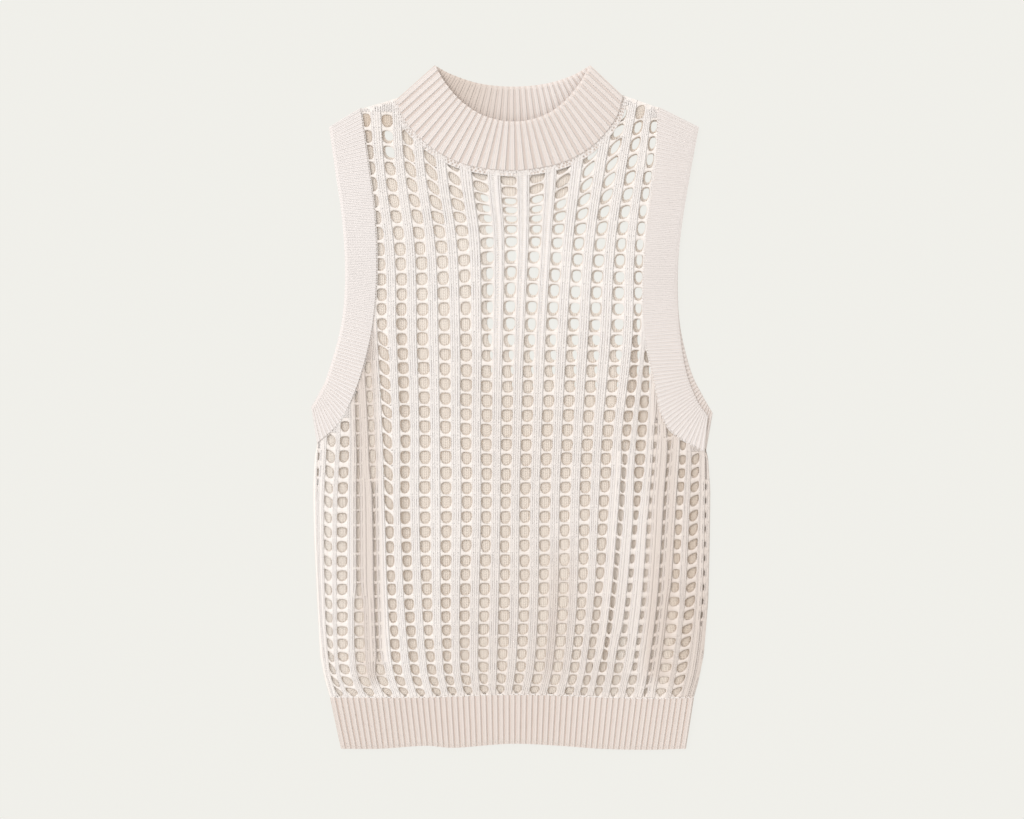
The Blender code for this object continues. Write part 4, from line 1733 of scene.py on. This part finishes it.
class ReliefGroups:
    """Node groups with the fine relief that the finishes share, each built once."""

    def __init__(self) -> None:
        """Builds both groups."""
        self.trees = {Relief.STITCHES: self.stitches(), Relief.TWIST: self.twist()}

    def start(self, relief: Relief, numbers: tuple[tuple[str, float], ...]
              ) -> tuple[Nodes, bpy.types.Node, bpy.types.Node, bpy.types.Node]:
        """Starts a group that takes a map and numbers, and gives a height.

        Args:
            relief: The pattern.
            numbers: Names and first values of its numbers.

        Returns:
            The tree's short calls, its input node, its output node and the map's parts.
        """
        tree = bpy.data.node_groups.new(relief.value, "ShaderNodeTree")
        tree.interface.new_socket("Map", in_out="INPUT", socket_type="NodeSocketVector")
        for name, value in numbers:
            socket = tree.interface.new_socket(name, in_out="INPUT", socket_type="NodeSocketFloat")
            socket.default_value = value
        tree.interface.new_socket("Height", in_out="OUTPUT", socket_type="NodeSocketFloat")
        nodes = Nodes(tree)
        enter, leave = nodes.add("NodeGroupInput"), nodes.add("NodeGroupOutput")
        parts = nodes.add("ShaderNodeSeparateXYZ")
        nodes.link(enter.outputs["Map"], parts.inputs[0])
        return nodes, enter, leave, parts

    def stitches(self) -> bpy.types.NodeTree:
        """Stacked V stitches, or plain bars where they don't lean.

        Returns:
            The group.
        """
        numbers = (("Wales", 2.0), ("Stitches", 1.0), ("Lean", 0.5))
        nodes, enter, leave, parts = self.start(Relief.STITCHES, numbers)
        wale = nodes.math("FRACT", nodes.math("MULTIPLY", parts.outputs[0], enter.outputs["Wales"]))
        off_middle = nodes.math("ABSOLUTE", nodes.math("SUBTRACT", wale, 0.5))
        across = nodes.math("MULTIPLY", off_middle, 2.0)
        lean = nodes.math("MULTIPLY", across, enter.outputs["Lean"])
        step = nodes.math("MULTIPLY", parts.outputs[1], enter.outputs["Stitches"])
        turn = nodes.math("MULTIPLY", nodes.math("SUBTRACT", step, lean), 2 * pi)
        leg = nodes.math("MULTIPLY_ADD", nodes.math("SINE", turn), 0.5, 0.5)
        inner = nodes.math("SMOOTH_MIN", nodes.math("MULTIPLY", across, 4.0), 1.0, 0.3)
        outer = nodes.math("SMOOTH_MIN", nodes.math("MULTIPLY_ADD", across, -3.0, 3.0), 1.0, 0.3)
        ridge = nodes.math("MULTIPLY", inner, outer)
        height = nodes.math("MULTIPLY", ridge, nodes.math("MULTIPLY_ADD", leg, 0.55, 0.45))
        nodes.link(height, leave.inputs["Height"])
        return nodes.tree

    def twist(self) -> bpy.types.NodeTree:
        """Two plies twisted about each other along a bead of yarn.

        Returns:
            The group.
        """
        nodes, enter, leave, parts = self.start(Relief.TWIST, (("Turns", 2.0), ("Slope", 3.0)))
        slope = nodes.math("MULTIPLY", parts.outputs[0], enter.outputs["Slope"])
        turns = nodes.math("MULTIPLY", parts.outputs[1], enter.outputs["Turns"])
        turn = nodes.math("MULTIPLY", nodes.math("ADD", slope, turns), 2 * pi)
        height = nodes.math("ABSOLUTE", nodes.math("SINE", turn))
        nodes.link(height, leave.inputs["Height"])
        return nodes.tree


@dataclass(frozen=True)
class YarnFinish:
    """Matt cotton yarn, with paler crests and warmer, darker hollows; the hollows' colour and the dusk
    colour are painted shade.
    """

    name: str
    relief: Relief
    crest: Colour
    # painted shade: the colour that hollows and gaps between stitches turn to
    hollow: Colour
    settings: tuple[tuple[str, float], ...]           # numbers of the relief
    dusk: Colour = (0.71, 0.61, 0.54)                 # colour fully in shade
    gap_shade: float = 0.25                           # how far gaps between stitches take the hollows' painted shade
    hollow_depth: float = 0.85                        # how far deep places take that painted shade
    cloud: float = 0.3                                # how far soft patches do, either way in all
    bump: float = 0.4
    bump_height: float = 0.0006
    fuzz_bump: float = 0.25
    fuzz_scale: float = 900.0
    fuzz_detail: float = 3.0
    cloud_scale: float = 14.0
    cloud_detail: float = 2.0
    roughness: float = 0.88
    fuzz_roughness: float = 0.1
    sheen: float = 0.12
    sheen_roughness: float = 0.5
    specular: float = 0.2

    def colour(self, nodes: Nodes, relief: bpy.types.NodeSocket) -> bpy.types.NodeSocket:
        """Paler crests, painted shade in warmer, darker hollows, and painted shade where the shade mask is
        high.

        Args:
            nodes: The material's tree.
            relief: Height of the fine relief.

        Returns:
            The colour.
        """
        cloud = nodes.noise(self.cloud_scale, self.cloud_detail)
        depth = nodes.add("ShaderNodeAttribute", attribute_name="depth").outputs["Fac"]
        shade = nodes.add("ShaderNodeAttribute", attribute_name="shade").outputs["Fac"]
        # Painted shade: low depth and the gaps between stitches turn the colour to the hollows' darker,
        # warmer one.
        hollow = nodes.math("MULTIPLY_ADD", depth, -self.hollow_depth, self.hollow_depth)
        gap = nodes.math("MULTIPLY_ADD", relief, -self.gap_shade, self.gap_shade)
        patches = nodes.math("MULTIPLY_ADD", cloud, self.cloud, -self.cloud / 2)
        deep = nodes.math("ADD", nodes.math("MAXIMUM", gap, hollow), patches)
        # Painted shade: the shade mask turns the colour towards the dusk colour.
        return nodes.mix(shade, nodes.mix(deep, self.crest, self.hollow), self.dusk)

    def material(self, groups: ReliefGroups) -> bpy.types.Material:
        """Builds the finish as a material.

        Args:
            groups: The relief patterns.

        Returns:
            The material.
        """
        made = bpy.data.materials.new(self.name)
        made.use_nodes = True
        nodes = Nodes(made.node_tree)
        shader = made.node_tree.nodes["Principled BSDF"]
        shader.inputs["Sheen Weight"].default_value = self.sheen
        shader.inputs["Sheen Roughness"].default_value = self.sheen_roughness
        shader.inputs["Specular IOR Level"].default_value = self.specular
        uv = nodes.add("ShaderNodeUVMap", uv_map="knit")
        knit = nodes.add("ShaderNodeGroup", node_tree=groups.trees[self.relief])
        for name, value in self.settings:
            knit.inputs[name].default_value = value
        nodes.link(uv.outputs[0], knit.inputs["Map"])
        relief = knit.outputs["Height"]
        fuzz = nodes.noise(self.fuzz_scale, self.fuzz_detail)
        nodes.link(self.colour(nodes, relief), shader.inputs["Base Color"])
        least_rough = self.roughness - self.fuzz_roughness / 2
        rough = nodes.math("MULTIPLY_ADD", fuzz, self.fuzz_roughness, least_rough)
        nodes.link(rough, shader.inputs["Roughness"])
        height = nodes.math("MULTIPLY_ADD", fuzz, self.fuzz_bump, relief)
        bump = nodes.add("ShaderNodeBump")
        bump.inputs["Strength"].default_value = self.bump
        bump.inputs["Distance"].default_value = self.bump_height
        nodes.link(height, bump.inputs["Height"])
        nodes.link(bump.outputs[0], shader.inputs["Normal"])
        return made


BARS = (("Wales", 1.0), ("Stitches", 6.0), ("Lean", 0.0))
VEES = (("Wales", 5.0), ("Stitches", 6.0), ("Lean", 0.6))
RIBS = (("Wales", 1.0), ("Stitches", 1.0), ("Lean", 0.6))
PLIES = (("Turns", 2.0), ("Slope", 3.0))
NET = YarnFinish(
    "net_knit", Relief.STITCHES, (0.951, 0.902, 0.862), (0.80, 0.70, 0.62), BARS, gap_shade=0.3)
# The back's copy of the net's yarn: a paler crest, as painted light that makes up for the front's shade
# over it, and a darker, warmer painted shade colour.
NET_BACK = YarnFinish(
    "net_knit_back", Relief.STITCHES, (0.98, 0.93, 0.87), (0.80, 0.70, 0.60), VEES,
    gap_shade=0.45, bump=0.8, dusk=(0.70, 0.58, 0.47))
RIB = YarnFinish(
    "rib_knit", Relief.STITCHES, (0.882, 0.813, 0.774), (0.66, 0.55, 0.49), RIBS)
FINE_RIB = YarnFinish(
    "fine_rib_knit", Relief.STITCHES, (0.921, 0.872, 0.853), (0.84, 0.76, 0.71), RIBS)
NET_YARN = YarnFinish(
    "net_yarn", Relief.TWIST, (0.960, 0.916, 0.887), (0.88, 0.81, 0.76), PLIES, gap_shade=0.1)
RIB_YARN = YarnFinish(
    "rib_yarn", Relief.TWIST, (0.931, 0.882, 0.853), (0.78, 0.68, 0.62), PLIES, gap_shade=0.15)
FINE_RIB_YARN = YarnFinish(
    "fine_rib_yarn", Relief.TWIST, (0.931, 0.892, 0.872), (0.90, 0.84, 0.80), PLIES, gap_shade=0.1)


class Wardrobe:
    """The materials that the garment's pieces wear."""

    def __init__(self) -> None:
        """Builds the materials."""
        groups = ReliefGroups()
        self.net = NET.material(groups)
        self.net_back = NET_BACK.material(groups)
        self.rib = RIB.material(groups)
        self.fine_rib = FINE_RIB.material(groups)
        self.yarn = NET_YARN.material(groups)
        self.rib_yarn = RIB_YARN.material(groups)
        self.fine_yarn = FINE_RIB_YARN.material(groups)


class Ribbing(Enum):
    """The two kinds of ribbing, named by their slots."""

    RIB = "rib_knit"
    FINE_RIB = "fine_rib_knit"


@dataclass
class Pullover:
    """The whole garment: two net panels, the ribbed neck and hem, and two armbands."""

    wardrobe: Wardrobe = field(default_factory=Wardrobe)
    drape: Drape = field(default_factory=lambda: Drape(FOLDS))

    def own(self, piece: bpy.types.Object, node: str) -> bpy.types.Object:
        """Makes a piece ride with the garment, and reports it.

        Args:
            piece: The piece.
            node: The node that it stands for.

        Returns:
            The piece.
        """
        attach(piece, BODY)
        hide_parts(node)
        triangles = sum(len(face.vertices) - 2 for face in piece.data.polygons)
        log.info("%s: %d triangles", piece.name, triangles)
        return piece

    def panels(self) -> None:
        """Builds the two net panels."""
        front = NetPanel(
            "front_net", Layer.FRONT, NetMap(FRONT_NET), self.drape, Track(COLLAR_FRONT),
            Track(LEFT_ARMBAND), Track(RIGHT_ARMBAND), OPENINGS)
        back = NetPanel(
            "back_net", Layer.BACK, NetMap(FRONT_NET, shift_rows=0.06, between=0.5), self.drape,
            Track(COLLAR_BACK), Track(LEFT_ARMBAND), Track(RIGHT_ARMBAND_BACK), BACK_OPENINGS,
            HoleShape(half_width=0.21, half_height=0.32), rows=43, around=2, strip_relief=0.0002,
            yoke=(0.5025, 0.066), seed=23)
        yarn = self.wardrobe.yarn
        beads = [
            front.wales("front_wales_left", yarn, 0, SPLIT - 1),
            front.wales("front_wales_right", yarn, SPLIT, LINES[-1] + 1),
            front.fill("front_linking", yarn),
        ]
        for piece in beads:
            self.own(piece, "front_panel")
        piece = self.own(front.build(self.wardrobe.net), "front_panel")
        front.cloth_area()
        piece = self.own(back.build(self.wardrobe.net_back), "back_panel")
        back.cloth_area()

    def ribbed(self, strip: RibStrip, ribbing: Ribbing, node: str, has_beads: bool = True) -> None:
        """Builds a ribbed strip.

        Args:
            strip: The strip.
            ribbing: Its kind.
            node: The node that it stands for.
            has_beads: Whether its stitches show, and are made as beads of yarn.
        """
        wardrobe = self.wardrobe
        finishes = {Ribbing.RIB: (wardrobe.rib, wardrobe.rib_yarn),
                    Ribbing.FINE_RIB: (wardrobe.fine_rib, wardrobe.fine_yarn)}
        ground, yarn = finishes[ribbing]
        if has_beads:
            self.own(strip.wales(strip.name + "_wales", yarn), node)
        piece = self.own(strip.build(ground), node)
        strip.track.length()
        strip.track.width()

    def neck_and_hem(self) -> None:
        """Builds the ribbed neck and the ribbed hem."""
        # Painted shade: the inner back collar darkens towards its left end, where the front collar shades
        # it, the front collar towards its right end, and the front hem all over.
        self.ribbed(RibStrip("neck_back", Layer.BACK, Track(COLLAR_BACK), 31, dusk=0.85, tone=0.08,
                             relief=0.0006, bead_height=0.0006, fade=(0.15, 0.8, 1.0)),
                    Ribbing.RIB, "collar_back")
        self.ribbed(RibStrip("neck_front", Layer.FRONT, Track(COLLAR_FRONT), 33, relief=0.0007,
                             lift=0.0045, base=0.0032, fade=(1.0, 1.0, 0.7), tone=0.18, dusk=-0.14),
                    Ribbing.RIB, "collar_front")
        self.ribbed(RibStrip("hem_rib_back", Layer.BACK, Track(HEM), 63, samples=4),
                    Ribbing.RIB, "hem_back", has_beads=False)
        self.ribbed(RibStrip("hem_rib_front", Layer.FRONT, Track(HEM), 63, linked_rise=BODY_LOFT,
                             tone=0.42),
                    Ribbing.RIB, "hem_front")

    def armbands(self) -> None:
        """Builds the two fine-rib armbands."""
        front = dict(relief=0.0002, samples=4, linked_rise=BODY_LOFT, bead_height=0.0004,
                     fade=(0.7, 0.15, 1.8))
        # Painted shade: the right band is darker than the left, and the right back band, whose edge shows
        # beside the front's, darker still.
        self.ribbed(RibStrip("left_band_back", Layer.BACK, Track(LEFT_ARMBAND), 68, samples=4),
                    Ribbing.FINE_RIB, "armband_left_back", has_beads=False)
        self.ribbed(RibStrip("left_band_front", Layer.FRONT, Track(LEFT_ARMBAND), 92, tone=0.05,
                             **front),
                    Ribbing.FINE_RIB, "armband_left_front")
        self.ribbed(RibStrip("right_band_back", Layer.BACK, Track(RIGHT_ARMBAND_BACK), 68, samples=4,
                             tone=0.5),
                    Ribbing.FINE_RIB, "armband_right_back")
        self.ribbed(RibStrip("right_band_front", Layer.FRONT, Track(RIGHT_ARMBAND), 92, tone=0.20,
                             **front),
                    Ribbing.FINE_RIB, "armband_right_front")

    def seams(self) -> None:
        """Builds the seams along which the ribbed strips are linked on to the front."""
        armband = dict(rows=(0.0004,), reach=(-0.0008, 0.0014), rise=0.0004, pitch=0.0026, gap=0.0004)
        seams = {
            "collar_front": LinkedSeam(
                "neck_seam", Track(COLLAR_FRONT), self.drape, rows=(-0.0006, 0.0016, 0.0038),
                reach=(-0.0020, 0.0056), rise=0.0006),
            "hem_front": LinkedSeam(
                "hem_seam", Track(HEM), self.drape, rows=(0.0002,), reach=(-0.0014, 0.0012),
                rise=0.0004, pitch=0.0050, gap=0.0005),
            "armband_left_front": LinkedSeam(
                "left_band_seam", Track(LEFT_ARMBAND), self.drape, **armband),
            "armband_right_front": LinkedSeam(
                "right_band_seam", Track(RIGHT_ARMBAND), self.drape, **armband),
        }
        for node, seam in seams.items():
            self.own(seam.build(self.wardrobe.yarn), node)


@dataclass
class Studio:
    """A plain pale floor under soft light, seen from straight above."""

    floor_colour: Colour = (0.05, 0.05, 0.046)
    floor_glow: Colour = (0.90, 0.893, 0.85)
    glow_strength: float = 0.91
    floor_size: float = 6.0
    floor_drop: float = 0.0003       # of the floor below the garment
    room_colour: Colour = (1.0, 0.985, 0.965)
    room_strength: float = 0.80
    window_colour: Colour = (1.0, 0.985, 0.99)
    window_strength: float = 1.30
    window_angle: float = radians(40)
    window_side: tuple[float, float, float] = (-0.75, 0.55, 1.0)    # direction in which it lies
    view_width: float = 0.9216       # width that the picture shows
    view_height: float = 0.005       # height at which it does
    lens: float = 85.0
    sensor: float = 36.0
    centre_up: float = -0.0018

    def floor(self) -> None:
        """Lays the floor, lit softly from below like a light table."""
        ground = bmesh.new()
        bmesh.ops.create_grid(ground, x_segments=1, y_segments=1, size=self.floor_size)
        bmesh.ops.translate(ground, verts=ground.verts, vec=(0, 0, -self.floor_drop))
        mesh, _ = to_mesh("floor", ground)
        paint = bpy.data.materials.new("floor")
        paint.use_nodes = True
        shader = paint.node_tree.nodes["Principled BSDF"]
        shader.inputs["Base Color"].default_value = (*self.floor_colour, 1)
        shader.inputs["Roughness"].default_value = 1.0
        shader.inputs["Specular IOR Level"].default_value = 0.0
        shader.inputs["Emission Color"].default_value = (*self.floor_glow, 1)
        shader.inputs["Emission Strength"].default_value = self.glow_strength
        new_object("floor", mesh, paint)

    def light(self) -> None:
        """Hangs one large soft light up and to the left, in an even pale room."""
        world = bpy.data.worlds.new("room")
        bpy.context.scene.world = world
        world.use_nodes = True
        background = world.node_tree.nodes["Background"]
        background.inputs["Color"].default_value = (*self.room_colour, 1)
        background.inputs["Strength"].default_value = self.room_strength
        sun = bpy.data.lights.new("window", "SUN")
        sun.energy = self.window_strength
        sun.color = self.window_colour
        sun.angle = self.window_angle
        lamp = bpy.data.objects.new("window", sun)
        bpy.context.scene.collection.objects.link(lamp)
        lamp.rotation_euler = Vector(self.window_side).to_track_quat("Z", "Y").to_euler()

    def camera(self) -> None:
        """Sets the camera straight above the garment."""
        data = bpy.data.cameras.new("camera")
        data.lens = self.lens
        data.sensor_width = self.sensor
        camera = bpy.data.objects.new("camera", data)
        bpy.context.scene.collection.objects.link(camera)
        distance = self.view_width * self.lens / self.sensor
        camera.location = (0, self.centre_up, distance + self.view_height)
        bpy.context.scene.camera = camera
        bpy.context.scene.view_settings.view_transform = "Standard"


def main() -> None:
    """Builds the studio and the garment, and reports each piece."""
    logging.basicConfig(level=logging.INFO, format="%(message)s")
    studio = Studio()
    studio.camera()
    studio.floor()
    studio.light()
    garment = Pullover()
    garment.panels()
    garment.neck_and_hem()
    garment.armbands()
    garment.seams()


if __name__ == "__main__":
    main()
